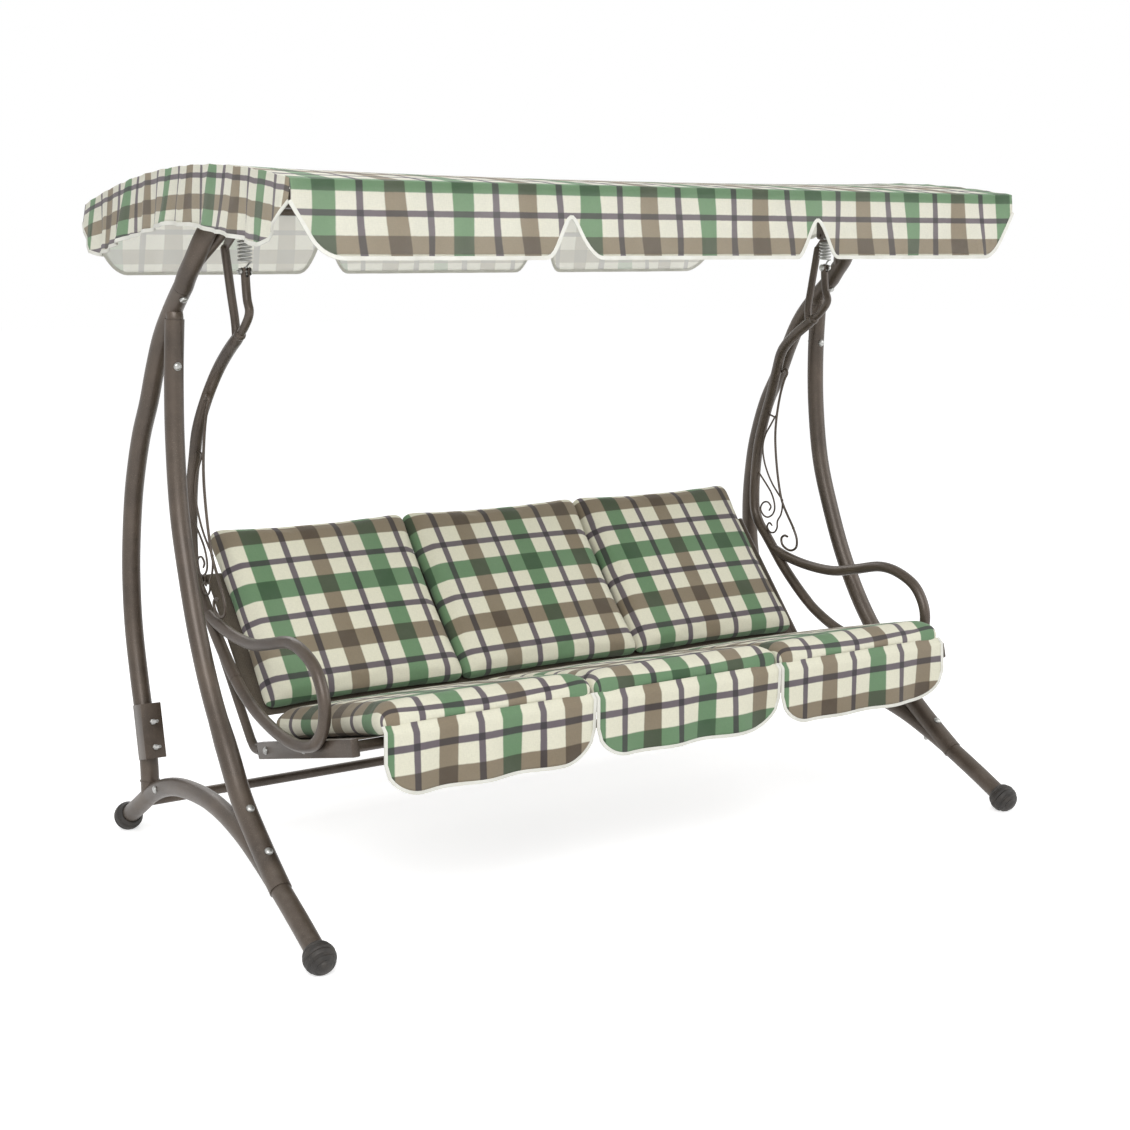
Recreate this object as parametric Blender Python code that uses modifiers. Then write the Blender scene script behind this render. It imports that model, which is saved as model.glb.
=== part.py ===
"""Three-seat canopy swing chair, modelled as the separate pieces it is built from.

Metres, +Z up.  The origin is on the floor below the middle of the chair, +X runs
along the seat and -Y is the front.  Each side frame is a bent base tube with two
legs on it; elbows carry the top beam, the canopy and the two spring hangers, and
the seat swings on the hanger pins.
"""
import math

import bmesh
import bpy
from mathutils import Matrix, Vector, geometry

# Driving sizes of the side frames
base_half_width = 1.0
base_depth = 1.110
base_middle_y = -0.064
beam_height = 1.575
beam_y = -0.010
beam_setback = 0.200
beam_half_length = base_half_width - beam_setback
side_lean_share = 0.024

# Tubes and clearances
tube_radius = 0.0225
sleeve_radius = 0.0248
stub_radius = 0.0200
stub_wall = 0.0030
spigot_wall = 0.0030
spigot_length = 0.060
stub_spigot_length = 0.125
stretcher_radius = 0.0125
gap = 0.0003
shoulder = 0.0005
straight_run = 0.005
weld_distance = 0.00001
overrun = 0.020

# Feet
foot_radius = 0.036
foot_flat = 0.0025
foot_collar = 0.004

# Bolts
bolt_radius = 0.004
bolt_head_radius = 0.0085
bolt_head_height = 0.0045
bolt_nut_height = 0.0060
saddle_bolt_tail = 0.030

# Bracket at the foot of each rear leg
saddle_wall = 0.003
saddle_reach = 0.055
saddle_overlap = 0.010
saddle_length = 0.135
saddle_start = 0.020
saddle_bolt_step = 0.095

# Hangers
hinge_drop = 0.075
hinge_y = -0.012
hanger_outset = 0.057
hanger_half_width = beam_half_length + hanger_outset
pin_radius = 0.005
strap_thickness = 0.006
strap_width = 0.026
strap_offset = 0.019
plate_offset = 0.023
bracket_radius = 0.011
bracket_offset = 0.048

# Springs
spring_wire = 0.0023
spring_coil = 0.0145
spring_turns = 6
spring_height = 0.0860
spring_coil_drop = 0.0165
spring_coil_rise = 0.0205
spring_eye = 0.0090
bounce_travel = 0.020

# Swing arms and armrests
arm_outset = 0.0245
arm_half_width = hanger_half_width + arm_outset
arm_radius = 0.0145
prong_radius = 0.0100
armrest_radius = 0.0140
arm_foot_height = 0.298
hang_depth = beam_height - hinge_drop - arm_foot_height
clevis_slot = 0.0070
clevis_depth = 0.024
clevis_top = 0.0085
plate_thickness = 0.005
plate_wall = 0.0060
pin_play = 0.0005

# Scroll wires
scroll_wire = 0.0035
curl_wire = 0.0026

# Seat frame
seat_tilt = math.radians(14.2)
seat_depth = 0.545
seat_corner_y = 0.012
seat_lift = 0.001
seat_corner_drop = hang_depth - seat_lift
rail_height = 0.040
rail_thickness = 0.020
bar_radius = 0.0125
upright_radius = 0.0110
upright_length = 0.490
back_recline = math.radians(41.6)
corner_radius = 0.030
corner_share = 0.25
sling_thickness = 0.003
sling_inset = 0.0435
sling_half_width = arm_half_width - sling_inset

# Cushions
cushion_inset = 0.0695
cushion_half_width = arm_half_width - cushion_inset
cushion_joint = 0.0012
seat_cushion_depth = 0.570
seat_cushion_height = 0.065
seat_cushion_rear = 0.020
back_cushion_length = 0.500
back_cushion_height = 0.056
back_cushion_start = 0.085
cushion_crown = 0.014
cushion_draw = 0.007
flap_drop = 0.150
flap_thickness = 0.004
flap_gap = 0.014
flap_fold = 0.006
flap_height_share = 0.30
flap_corner_share = 0.25
flap_rise_share = 0.16

# Canopy
canopy_overhang = 0.197
canopy_half_width = beam_half_length + canopy_overhang
canopy_front_y = -0.553
canopy_rear_y = 0.631
canopy_front_rise = 0.026
canopy_rear_fall = 0.008
canopy_front_z = beam_height + canopy_front_rise
canopy_rear_z = beam_height - canopy_rear_fall
canopy_arch = 0.055
canopy_sag_share = 0.25
canopy_cloth = 0.002
canopy_flare = 0.018
front_drop = 0.150
rear_drop = 0.166
side_drop = 0.118
corner_drop = 0.042
notch_share = 0.346
notch_x = canopy_half_width * notch_share
notch_half_width = 0.078
notch_drop = 0.064
canopy_fold = 0.004
fold_turn = 2.2
notch_power = 0.8
end_share = 0.11
canopy_bar_radius = 0.0100
bar_clearance = 0.0006
canopy_arch_inset = 0.024
support_inset = 0.100
support_x = beam_half_length - support_inset
clamp_wall = 0.004
clamp_width = 0.034

# Side frame outlines: share of the depth from the front foot, share of the beam height
base_shares = [
    (0.000, 0.0213), (0.084, 0.0495), (0.184, 0.0806), (0.261, 0.1016), (0.336, 0.1187),
    (0.416, 0.1308), (0.504, 0.1371), (0.597, 0.1346), (0.693, 0.1251), (0.775, 0.1086),
    (0.845, 0.0870), (0.923, 0.0540), (1.000, 0.0213)]
front_leg_shares = [
    (0.681, 0.8286), (0.689, 0.7450), (0.687, 0.6540), (0.666, 0.5460), (0.623, 0.4571),
    (0.571, 0.3746), (0.505, 0.2984), (0.418, 0.2235), (0.354, 0.1702), (0.285, 0.1314),
    (0.227, 0.1029), (0.169, 0.0762)]
rear_leg_shares = [
    (0.858, 0.0820), (0.862, 0.1270), (0.879, 0.1841), (0.915, 0.2597), (0.948, 0.3467),
    (0.957, 0.4375), (0.940, 0.5333), (0.920, 0.5841), (0.882, 0.6470), (0.833, 0.7010),
    (0.795, 0.7517), (0.749, 0.8019), (0.679, 0.8495), (0.634, 0.8749)]
stub_top_shares = (0.690, 0.8462)

# Bolts: the stretch of the path that each one is in, and its share of the way along it
leg_bolt_shares = [("upper", -4, 0.45), ("lower", -3, 0.85)]
stub_bolt_share = 0.80
elbow_bolt_share = 0.75

# Elbow: shares of the way from the rear leg's top to the beam's end, along X, Y and Z
elbow_shares = [
    (0.006, 0.263, 0.137), (0.030, 0.632, 0.315), (0.102, 0.895, 0.543),
    (0.251, 1.000, 0.772), (0.491, 1.000, 0.934), (0.760, 1.000, 1.000)]
bracket_share = 0.44
knee_share = 0.75

# Swing arm: shares of the hanging depth behind and below the hinge, share of the splay
arm_shares = [
    (0.0330, 0.1900, 0.0), (0.0920, 0.2250, 0.0), (0.1430, 0.2660, 0.1),
    (0.1760, 0.3200, 0.6), (0.2055, 0.3827, 1.0), (0.2280, 0.4426, 1.0),
    (0.2454, 0.4992, 1.0), (0.2546, 0.5657, 1.0), (0.2570, 0.6240, 1.0),
    (0.2529, 0.6656, 1.0), (0.2363, 0.6955, 1.0), (0.2121, 0.7188, 1.0),
    (0.1889, 0.7421, 1.0), (0.1431, 0.7879, 1.0), (0.0932, 0.8295, 1.0),
    (0.0515, 0.8595, 1.0)]
front_prong_shares = [
    (0.0000, 0.0560), (0.0000, 0.0850), (-0.0050, 0.1230), (-0.0135, 0.1460),
    (0.0090, 0.1730), (0.0500, 0.1990)]
rear_prong_shares = [
    (0.0500, 0.2010), (0.0540, 0.1660), (0.0525, 0.1160), (0.0500, 0.0700),
    (0.0480, 0.0330)]
lug_share = 0.0480
lug_drop_share = 0.0300

# Armrest: shares of the hanging depth, from the lower joint round the nose to the top joint
armrest_shares = [
    (0.0515, 0.8595), (0.0241, 0.8760), (-0.0399, 0.9027), (-0.1040, 0.9185),
    (-0.1564, 0.9260), (-0.2313, 0.9260), (-0.3020, 0.9052), (-0.3378, 0.8611),
    (-0.3394, 0.8153), (-0.3103, 0.7696), (-0.2562, 0.7446), (-0.1980, 0.7388),
    (-0.1148, 0.7571), (-0.0399, 0.7729), (0.0516, 0.7737), (0.1300, 0.7640),
    (0.1805, 0.7513)]

# Scroll wires: shares of the hanging depth behind and below the hinge
scroll_shares = {
    "rim": [
        (0.1720, 0.3110), (0.1640, 0.3203), (0.1539, 0.3120), (0.1456, 0.3203),
        (0.1556, 0.3386), (0.1689, 0.3744), (0.1805, 0.4285), (0.1839, 0.4750),
        (0.1789, 0.5283), (0.1681, 0.5840), (0.1556, 0.6256), (0.1464, 0.6423),
        (0.1290, 0.6656), (0.1090, 0.6913), (0.0948, 0.7180), (0.0965, 0.7363),
        (0.1123, 0.7463), (0.1314, 0.7455), (0.1481, 0.7363), (0.1514, 0.7221),
        (0.1406, 0.7138), (0.1273, 0.7155)],
    "inner": [
        (0.1830, 0.4250), (0.2030, 0.4517), (0.2213, 0.4767), (0.2296, 0.5042),
        (0.2246, 0.5366), (0.2097, 0.5674), (0.1897, 0.5940), (0.1697, 0.6131),
        (0.1531, 0.6290), (0.1514, 0.6464), (0.1564, 0.6656), (0.1680, 0.6822),
        (0.1690, 0.6990), (0.1790, 0.7110), (0.1960, 0.7120), (0.2060, 0.7000),
        (0.1980, 0.6900), (0.1870, 0.6960)],
    "link": [(0.2220, 0.4240), (0.2020, 0.4270), (0.1830, 0.4320)]}

# The one curl that stands on the arm alone
arm_curl_shares = [
    (0.2550, 0.5600), (0.2313, 0.5807), (0.2113, 0.5982), (0.1938, 0.6156),
    (0.1822, 0.6364), (0.1797, 0.6539), (0.1864, 0.6672), (0.2055, 0.6772),
    (0.2230, 0.6730), (0.2330, 0.6590), (0.2240, 0.6440), (0.2060, 0.6400),
    (0.1940, 0.6500), (0.2010, 0.6610)]

# Spring eyes: turns of the wire's points round each eye, and the neck's share of its rise
eye_turn_shares = [-0.569, -0.458, -0.347, -0.236, -0.125, -0.014, 0.097, 0.172]
neck_share = 0.6

# Cushion cage, and the columns and rows of a flap
cushion_column_shares = [-0.5, -0.40, 0.0, 0.40, 0.5]
cushion_row_shares = [0.0, 0.10, 0.5, 0.90, 1.0]
flap_columns = 8
flap_row_shares = [0.0, 0.5, 1.0]

# Canopy columns from the middle to the side, and rows from the front to the rear
column_shares = [
    0.0, 0.13, 0.26, 0.285, 0.315, 0.346, 0.377, 0.407, 0.432, 0.55, 0.68, 0.80, 0.90,
    0.955, 1.0]
row_shares = [0.0, 0.07, 0.24, 0.44, 0.64, 0.84, 1.0]
drop_shares = [0.0, 0.45, 1.0]
bar_steps = 8

SIDES = {"left": -1, "right": 1}
CARRIED = {
    "swing_axis": ("spring",),
    "spring_slide": ("swing_arm", "clevis_bolt", "armrest", "arm_scroll", "seat_", "back_")}
FINISHES = {
    "bronze": ((0.115, 0.090, 0.078, 1.0), 0.45, 0.55),
    "dark_cap": ((0.030, 0.028, 0.028, 1.0), 0.55, 0.0),
    "steel": ((0.620, 0.620, 0.600, 1.0), 0.30, 1.0),
    "sling": ((0.120, 0.105, 0.090, 1.0), 0.85, 0.0),
    "cloth": ((0.560, 0.540, 0.400, 1.0), 0.90, 0.0)}


def make_collection(name):
    """Return a new collection linked to the scene."""
    made = bpy.data.collections.new(name)
    bpy.context.scene.collection.children.link(made)
    return made


def add_part(obj, finish):
    """Put one finished piece in the chair's collection with a material of its own."""
    colour, roughness, metallic = FINISHES[finish]
    material = bpy.data.materials.new(obj.name + "_finish")
    material.use_nodes = True
    shader = material.node_tree.nodes["Principled BSDF"]
    shader.inputs["Base Color"].default_value = colour
    shader.inputs["Roughness"].default_value = roughness
    shader.inputs["Metallic"].default_value = metallic
    obj.data.materials.append(material)
    parts.objects.link(obj)
    return obj


def add_cutter(obj):
    """Keep a guide shape as a wire in the collection that is not part of the chair."""
    obj.hide_render = True
    obj.display_type = "WIRE"
    cutters.objects.link(obj)
    return obj


def combine(obj, other, operation):
    """Add a Boolean of another shape to an object."""
    modifier = obj.modifiers.new(other.name, "BOOLEAN")
    modifier.operation = operation
    modifier.solver = "EXACT"
    modifier.object = other


def cut(obj, cutter):
    """Cut a shape away from an object."""
    combine(obj, cutter, "DIFFERENCE")


def join(obj, other):
    """Weld a second shape, which may carry its own cuts, to an object."""
    combine(obj, add_cutter(other), "UNION")


def mesh_object(name, shape, smooth=False):
    """Turn a bmesh into an object that is not linked yet."""
    mesh = bpy.data.meshes.new(name)
    shape.to_mesh(mesh)
    shape.free()
    if smooth:
        mesh.shade_smooth()
        mesh.set_sharp_from_angle(angle=math.radians(40))
    return bpy.data.objects.new(name, mesh)


def curve_through(points, steps):
    """Return a centripetal Catmull-Rom curve through the points, as more points."""
    known = [Vector(point) for point in points]
    known = [2 * known[0] - known[1]] + known + [2 * known[-1] - known[-2]]
    result = []
    for index in range(1, len(known) - 2):
        first, start, end, last = known[index - 1:index + 3]
        knot_1 = math.sqrt((start - first).length)
        knot_2 = knot_1 + math.sqrt((end - start).length)
        knot_3 = knot_2 + math.sqrt((last - end).length)
        for step in range(steps):
            at = knot_1 + (knot_2 - knot_1) * step / steps
            run_1 = first.lerp(start, at / knot_1)
            run_2 = start.lerp(end, (at - knot_1) / (knot_2 - knot_1))
            run_3 = end.lerp(last, (at - knot_2) / (knot_3 - knot_2))
            left = run_1.lerp(run_2, at / knot_2)
            right = run_2.lerp(run_3, (at - knot_1) / (knot_3 - knot_1))
            result.append(left.lerp(right, (at - knot_1) / (knot_2 - knot_1)))
    return result + [known[-2]]


def tube(name, points, radius, sides=10, factors=None):
    """Sweep a round section along the points; factors scale the radius at each."""
    curve = bpy.data.curves.new(name, "CURVE")
    curve.dimensions = "3D"
    curve.bevel_depth = radius
    curve.bevel_resolution = (sides - 4) // 2
    curve.use_fill_caps = True
    spline = curve.splines.new("POLY")
    spline.points.add(len(points) - 1)
    for index, point in enumerate(points):
        spline.points[index].co = (*point, 1.0)
        if factors:
            spline.points[index].radius = factors[index]
    guide = bpy.data.objects.new(name + "_path", curve)
    cutters.objects.link(guide)
    bpy.context.view_layer.update()
    swept = guide.evaluated_get(bpy.context.evaluated_depsgraph_get())
    mesh = bpy.data.meshes.new_from_object(swept)
    shape = bmesh.new()
    shape.from_mesh(mesh)
    bmesh.ops.remove_doubles(shape, verts=shape.verts, dist=weld_distance)
    bmesh.ops.recalc_face_normals(shape, faces=shape.faces)
    bpy.data.meshes.remove(mesh)
    made = mesh_object(name, shape, smooth=True)
    made.matrix_world = guide.matrix_world
    bpy.data.objects.remove(guide)
    return made


def grown(radius, sides=10):
    """Return a cutter's radius whose flats clear a tube of the same sides."""
    return radius + gap / math.cos(math.pi / sides)


def socket(radius, sides=12):
    """Return the radius of a bore whose flats clear a round spigot."""
    return (radius + gap) / math.cos(math.pi / sides)


def aim(start, end):
    """Return the frame at the start whose Z runs towards the end."""
    turn = (Vector(end) - Vector(start)).to_track_quat("Z", "Y")
    return Matrix.Translation(start) @ turn.to_matrix().to_4x4()


def rod(name, start, end, radius, sides=12):
    """Make a straight round bar between two points."""
    length = (Vector(end) - Vector(start)).length
    shape = bmesh.new()
    bmesh.ops.create_cone(
        shape, cap_ends=True, segments=sides, radius1=radius, radius2=radius,
        depth=length, matrix=Matrix.Translation((0, 0, length / 2)))
    made = mesh_object(name, shape, smooth=True)
    made.matrix_world = aim(start, end)
    return made


def block(name, size, frame):
    """Make a box of the given size, centred on a frame."""
    shape = bmesh.new()
    bmesh.ops.create_cube(shape, size=1, matrix=Matrix.Diagonal((*size, 1)))
    made = mesh_object(name, shape)
    made.matrix_world = frame
    return made


def turned(name, profile, frame, steps):
    """Turn a profile, listed from its top to its bottom, about the frame's Z."""
    mesh = bpy.data.meshes.new(name)
    points = [(radius, 0, height) for radius, height in profile]
    mesh.from_pydata(points, [(i, i + 1) for i in range(len(points) - 1)], [])
    made = bpy.data.objects.new(name, mesh)
    screw = made.modifiers.new("turn", "SCREW")
    screw.steps = steps
    screw.render_steps = steps
    screw.use_merge_vertices = True
    screw.merge_threshold = weld_distance
    made.matrix_world = frame
    return made


def prism(name, outline, thickness, frame):
    """Extrude a flat outline through a thickness centred on the frame."""
    shape = bmesh.new()
    ring = [shape.verts.new((u, v, -thickness / 2)) for u, v in outline]
    face = shape.faces.new(ring)
    made = bmesh.ops.extrude_face_region(shape, geom=[face])
    moved = [item for item in made["geom"] if isinstance(item, bmesh.types.BMVert)]
    bmesh.ops.translate(shape, verts=moved, vec=(0, 0, thickness))
    bmesh.ops.recalc_face_normals(shape, faces=shape.faces)
    result = mesh_object(name, shape)
    result.matrix_world = frame
    return result


def circle_points(centre, radius, count):
    """Return points round a circle in the plane."""
    turns = [2 * math.pi * step / count for step in range(count)]
    return [(centre[0] + radius * math.cos(turn), centre[1] + radius * math.sin(turn))
            for turn in turns]


def hull_of(circles, count=12):
    """Return the outline that wraps tightly round a few circles."""
    points = []
    for centre, radius in circles:
        points += circle_points(centre, radius, count)
    return [points[index] for index in geometry.convex_hull_2d(points)]


def nearest_distance(path, point):
    """Return the distance from a point to a path of straight runs."""
    best = (path[0] - point).length
    for start, end in zip(path, path[1:]):
        run = end - start
        share = max(0.0, min(1.0, (point - start).dot(run) / run.length_squared))
        best = min(best, (start + run * share - point).length)
    return best


def seat_depth_of(path, at, direction, radius):
    """Return how far along a direction a bolt's flat face clears the tube on a path."""
    across = direction.orthogonal().normalized()
    rim = [Matrix.Rotation(math.pi * step / 4, 3, direction) @ across * bolt_head_radius
           for step in range(8)]
    depth = nearest_distance(path, at) + radius

    def clearance():
        """Return how far the bolt's face is from the tube's skin at its nearest."""
        return min(nearest_distance(path, at + direction * depth + edge) for edge in rim) - radius

    while clearance() < gap:
        depth += gap
    return depth


def side_point(sign, y, z):
    """Return the point of a leaning side frame at this depth and height."""
    return Vector((sign * (base_half_width - side_lean_share * z), y, z))


def frame_path(sign, shares):
    """Return a side frame's outline in metres from its shares."""
    front_y = base_middle_y - base_depth / 2
    return [side_point(sign, front_y + base_depth * depth, beam_height * height)
            for depth, height in shares]


def bolt(name, head, direction, front, back, tail=0.0):
    """Make a bolt with its head outward along the direction and a nut at the back."""
    frame = aim(head, head + direction)
    nut = -back - shoulder
    end = nut - bolt_nut_height
    profile = [
        (0, front + bolt_head_height), (bolt_head_radius, front + bolt_head_height),
        (bolt_head_radius, front), (bolt_radius, front), (bolt_radius, nut),
        (bolt_head_radius, nut), (bolt_head_radius, end)]
    if tail:
        profile += [(bolt_radius, end), (bolt_radius, end - tail), (0, end - tail)]
    else:
        profile += [(0, end)]
    return add_part(turned(name, profile, frame, 8), "steel")


def bolt_hole(centre, direction, reach):
    """Return the cutter for a bolt's hole, passing through everything near it."""
    frame = aim(centre, centre + direction)
    radius = grown(bolt_radius, 8)
    profile = [(0, reach), (radius, reach), (radius, -reach), (0, -reach)]
    return add_cutter(turned("bolt_hole", profile, frame, 8))


def build_foot(name, base_path, from_start):
    """Make one ball foot on an end of a base tube, cut flat on the floor."""
    tip, inner = (base_path[0], base_path[1]) if from_start else (base_path[-1], base_path[-2])
    outward = (tip - inner).normalized()
    bore = socket(tube_radius, 14)
    collar = math.sqrt(foot_radius ** 2 - (bore + foot_collar) ** 2)
    profile = [(0, foot_radius)]
    for degrees in (30, 60, 90, 120):
        turn = math.radians(degrees)
        profile.append((foot_radius * math.sin(turn), foot_radius * math.cos(turn)))
    profile += [(bore + foot_collar, -collar), (bore, -collar), (bore, gap), (0, gap)]
    foot = turned(name, profile, aim(tip, tip + outward), 14)
    floor_frame = Matrix.Translation((tip.x, tip.y, -foot_radius))
    size = (4 * foot_radius, 4 * foot_radius, 2 * foot_radius)
    cut(foot, add_cutter(block("floor", size, floor_frame)))
    return add_part(foot, "dark_cap")


def build_side(side):
    """Make one leaning side frame; return its elbow path and rear leg for later use."""
    sign = SIDES[side]
    hand_points = frame_path(sign, base_shares)
    hand_points[0].z = hand_points[-1].z = foot_radius - foot_flat
    base_path = hand_points
    base = tube("base_tube_" + side, base_path, tube_radius)
    base_cutter = add_cutter(tube("base_clear", base_path, grown(tube_radius)))
    build_foot("front_foot_" + side, base_path, True)
    build_foot("rear_foot_" + side, base_path, False)

    rear_path = frame_path(sign, rear_leg_shares)
    rear_top = rear_path[-1]
    rear_end = (rear_path[-1] - rear_path[-2]).normalized()
    rear_leg = tube("rear_leg_" + side, rear_path, tube_radius)

    front_path = frame_path(sign, front_leg_shares)
    front_top = front_path[0]
    front_end = (front_path[0] - front_path[1]).normalized()
    wide = [tube_radius / sleeve_radius if index < len(front_path) - 5 else 1.0
            for index in range(len(front_path))]
    front_leg = tube("front_leg_" + side, front_path, sleeve_radius, factors=wide)
    cut(front_leg, base_cutter)

    stub_top = frame_path(sign, [stub_top_shares])[0]
    stub_path = [
        stub_top, front_top + front_end * straight_run, front_top + front_end * (gap + shoulder),
        front_top + front_end * gap, front_top - front_end * stub_spigot_length]
    inner = (stub_radius - stub_wall) / stub_radius
    stub = tube("stub", stub_path, stub_radius, 12, [1.0, 1.0, 1.0, inner, inner])
    join(rear_leg, stub)
    stub_bore = rod(
        "stub_bore", front_top + front_end * overrun,
        front_top - front_end * (stub_spigot_length + gap), socket(stub_radius - stub_wall))
    cut(front_leg, add_cutter(stub_bore))
    leg_clear = add_cutter(tube("leg_clear", rear_path, grown(tube_radius)))
    cut(front_leg, leg_clear)
    cut(rear_leg, base_cutter)

    beam_end = Vector((sign * beam_half_length, beam_y, beam_height))
    way = beam_end - rear_top
    bends = [Vector((rear_top.x + way.x * x, rear_top.y + way.y * y, rear_top.z + way.z * z))
             for x, y, z in elbow_shares]
    inward = Vector((-sign, 0, 0))
    elbow_start = rear_top + rear_end * (gap + shoulder)
    elbow_stop = beam_end - inward * (gap + shoulder)
    smooth_bends = curve_through(
        [elbow_start + rear_end * straight_run] + bends + [elbow_stop - inward * straight_run], 2)
    elbow_bends = [elbow_start] + smooth_bends + [elbow_stop]
    elbow_path = (
        [elbow_start - rear_end * spigot_length, elbow_start - rear_end * shoulder]
        + elbow_bends
        + [elbow_stop + inward * shoulder, elbow_stop + inward * spigot_length])
    narrow = (tube_radius - spigot_wall) / tube_radius
    factors = [narrow, narrow] + [1.0] * len(elbow_bends) + [narrow, narrow]
    elbow = tube("elbow_" + side, elbow_path, tube_radius, factors=factors)
    bore = rod(
        "leg_bore", rear_top + rear_end * overrun,
        rear_top - rear_end * (spigot_length + gap), socket(tube_radius - spigot_wall))
    cut(rear_leg, add_cutter(bore))

    build_saddle(side, rear_path, rear_leg, leg_clear, base_cutter)
    build_frame_bolts(side, base, front_leg, rear_leg, elbow, base_path, front_path, rear_path)
    for piece in (base, front_leg, rear_leg, elbow):
        add_part(piece, "bronze")
    return elbow_bends


def build_saddle(side, rear_path, rear_leg, leg_clear, base_cutter):
    """Make the channel that hugs the rear leg's foot, and its long bolt."""
    foot, higher = rear_path[1], rear_path[3]
    up = (higher - foot).normalized()
    across = Vector((SIDES[side], 0, 0))
    across = (across - up * across.dot(up)).normalized()
    forward = up.cross(across)
    if forward.y > 0:
        forward = -forward
    middle = foot + up * (saddle_start + saddle_length / 2)
    frame = Matrix((
        (across.x, forward.x, up.x, middle.x), (across.y, forward.y, up.y, middle.y),
        (across.z, forward.z, up.z, middle.z), (0, 0, 0, 1)))
    if frame.determinant() < 0:
        frame = frame @ Matrix.Diagonal((-1, 1, 1, 1))
    inner = tube_radius + shoulder
    outer = inner + saddle_wall
    outline = [
        (-outer, -saddle_overlap), (-inner, -saddle_overlap), (-inner, saddle_reach),
        (inner, saddle_reach), (inner, -saddle_overlap), (outer, -saddle_overlap),
        (outer, saddle_reach + saddle_wall), (-outer, saddle_reach + saddle_wall)]
    saddle = prism("saddle_bracket_" + side, outline, saddle_length, frame)
    cut(saddle, leg_clear)
    cut(saddle, base_cutter)
    at = middle + up * (saddle_bolt_step / 2 - overrun)
    hole = bolt_hole(at, forward, 2 * saddle_length)
    cut(saddle, hole)
    cut(rear_leg, hole)
    behind = tube_radius + shoulder
    reach = saddle_reach + saddle_wall
    bolt("saddle_bolt_" + side, at, -forward, behind, reach, saddle_bolt_tail)
    add_part(saddle, "bronze")


def build_frame_bolts(side, base, front_leg, rear_leg, elbow, base_path, front_path, rear_path):
    """Put the bolts of one side frame through the pieces that they hold."""
    for label, index, share in leg_bolt_shares:
        at = front_path[index].lerp(front_path[index + 1], share)
        along = (front_path[index] - front_path[index + 1]).normalized()
        outward = along.cross(Vector((1, 0, 0))).normalized()
        if outward.y > 0:
            outward = -outward
        front = seat_depth_of(front_path, at, outward, sleeve_radius)
        back = seat_depth_of(base_path, at, -outward, tube_radius)
        hole = bolt_hole(at, outward, back + overrun)
        cut(front_leg, hole)
        cut(base, hole)
        bolt(f"leg_bolt_{label}_{side}", at, outward, front, back)
    for label, path, index, share, holders in (
            ("stub", front_path, 0, stub_bolt_share, (front_leg, rear_leg)),
            ("elbow", rear_path, -2, elbow_bolt_share, (rear_leg, elbow))):
        at = path[index].lerp(path[index + 1], share)
        along = (path[index + 1] - path[index]).normalized()
        outward = along.cross(Vector((1, 0, 0))).normalized()
        if outward.y > 0:
            outward = -outward
        hole = bolt_hole(at, outward, tube_radius + overrun)
        for piece in holders:
            cut(piece, hole)
        bolt(f"{label}_bolt_{side}", at, outward, tube_radius + shoulder, tube_radius)


def build_beam():
    """Make the top beam with a bore in each end, and the low rear stretcher."""
    ends = [Vector((sign * beam_half_length, beam_y, beam_height)) for sign in (-1, 1)]
    beam = rod("top_beam", ends[0], ends[1], tube_radius)
    bore_radius = socket(tube_radius - spigot_wall)
    for sign, end in zip((-1, 1), ends):
        outside = end + Vector((sign * overrun, 0, 0))
        inside = end - Vector((sign * (spigot_length + gap), 0, 0))
        cut(beam, add_cutter(rod("beam_bore", outside, inside, bore_radius)))
    add_part(beam, "bronze")

    left, right = (frame_path(sign, base_shares)[-3:-1] for sign in (-1, 1))
    starts = [(pair[0] + pair[1] * 3) / 4 for pair in (left, right)]
    stretcher = rod("rear_stretcher", starts[0], starts[1], stretcher_radius)
    for sign in (-1, 1):
        hand_points = frame_path(sign, base_shares)
        hand_points[0].z = hand_points[-1].z = foot_radius - foot_flat
        cut(stretcher, add_cutter(tube("stretcher_clear", hand_points, grown(tube_radius))))
    add_part(stretcher, "bronze")


def hinge_point(x):
    """Return the point of the swing axis at this X."""
    return Vector((x, hinge_y, beam_height - hinge_drop))


def build_hanger_bracket(side, elbow_bends):
    """Make the pin that the seat swings on, with its strap and bracket tube."""
    sign = SIDES[side]
    strap_x = sign * (hanger_half_width - strap_offset)
    bracket_x = sign * (hanger_half_width + bracket_offset)
    pin = rod(
        "hanger_bracket_" + side, hinge_point(strap_x - sign * strap_thickness),
        hinge_point(bracket_x), pin_radius, 16)
    drop = hinge_drop + pin_radius * 2
    middle = hinge_point(strap_x) + Vector((0, 0, drop / 2 - pin_radius * 2))
    strap = block(
        "strap", (strap_thickness, strap_width, drop), Matrix.Translation(middle))
    join(pin, strap)
    root = elbow_bends[0].lerp(elbow_bends[5], bracket_share)
    tip = hinge_point(bracket_x)
    knee = root.lerp(tip, knee_share) + Vector((0, gap, 0))
    join(pin, tube("bracket", [root, knee, tip], bracket_radius, 10))
    cut(pin, add_cutter(tube("elbow_clear", elbow_bends, grown(tube_radius))))
    add_part(pin, "bronze")


def self_gap(points, radius, skip):
    """Return the least gap between parts of one tube that are not neighbours."""
    least = None
    for first in range(len(points)):
        for second in range(first + skip, len(points)):
            between = (points[first] - points[second]).length - 2 * radius
            least = between if least is None else min(least, between)
    return least


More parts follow.
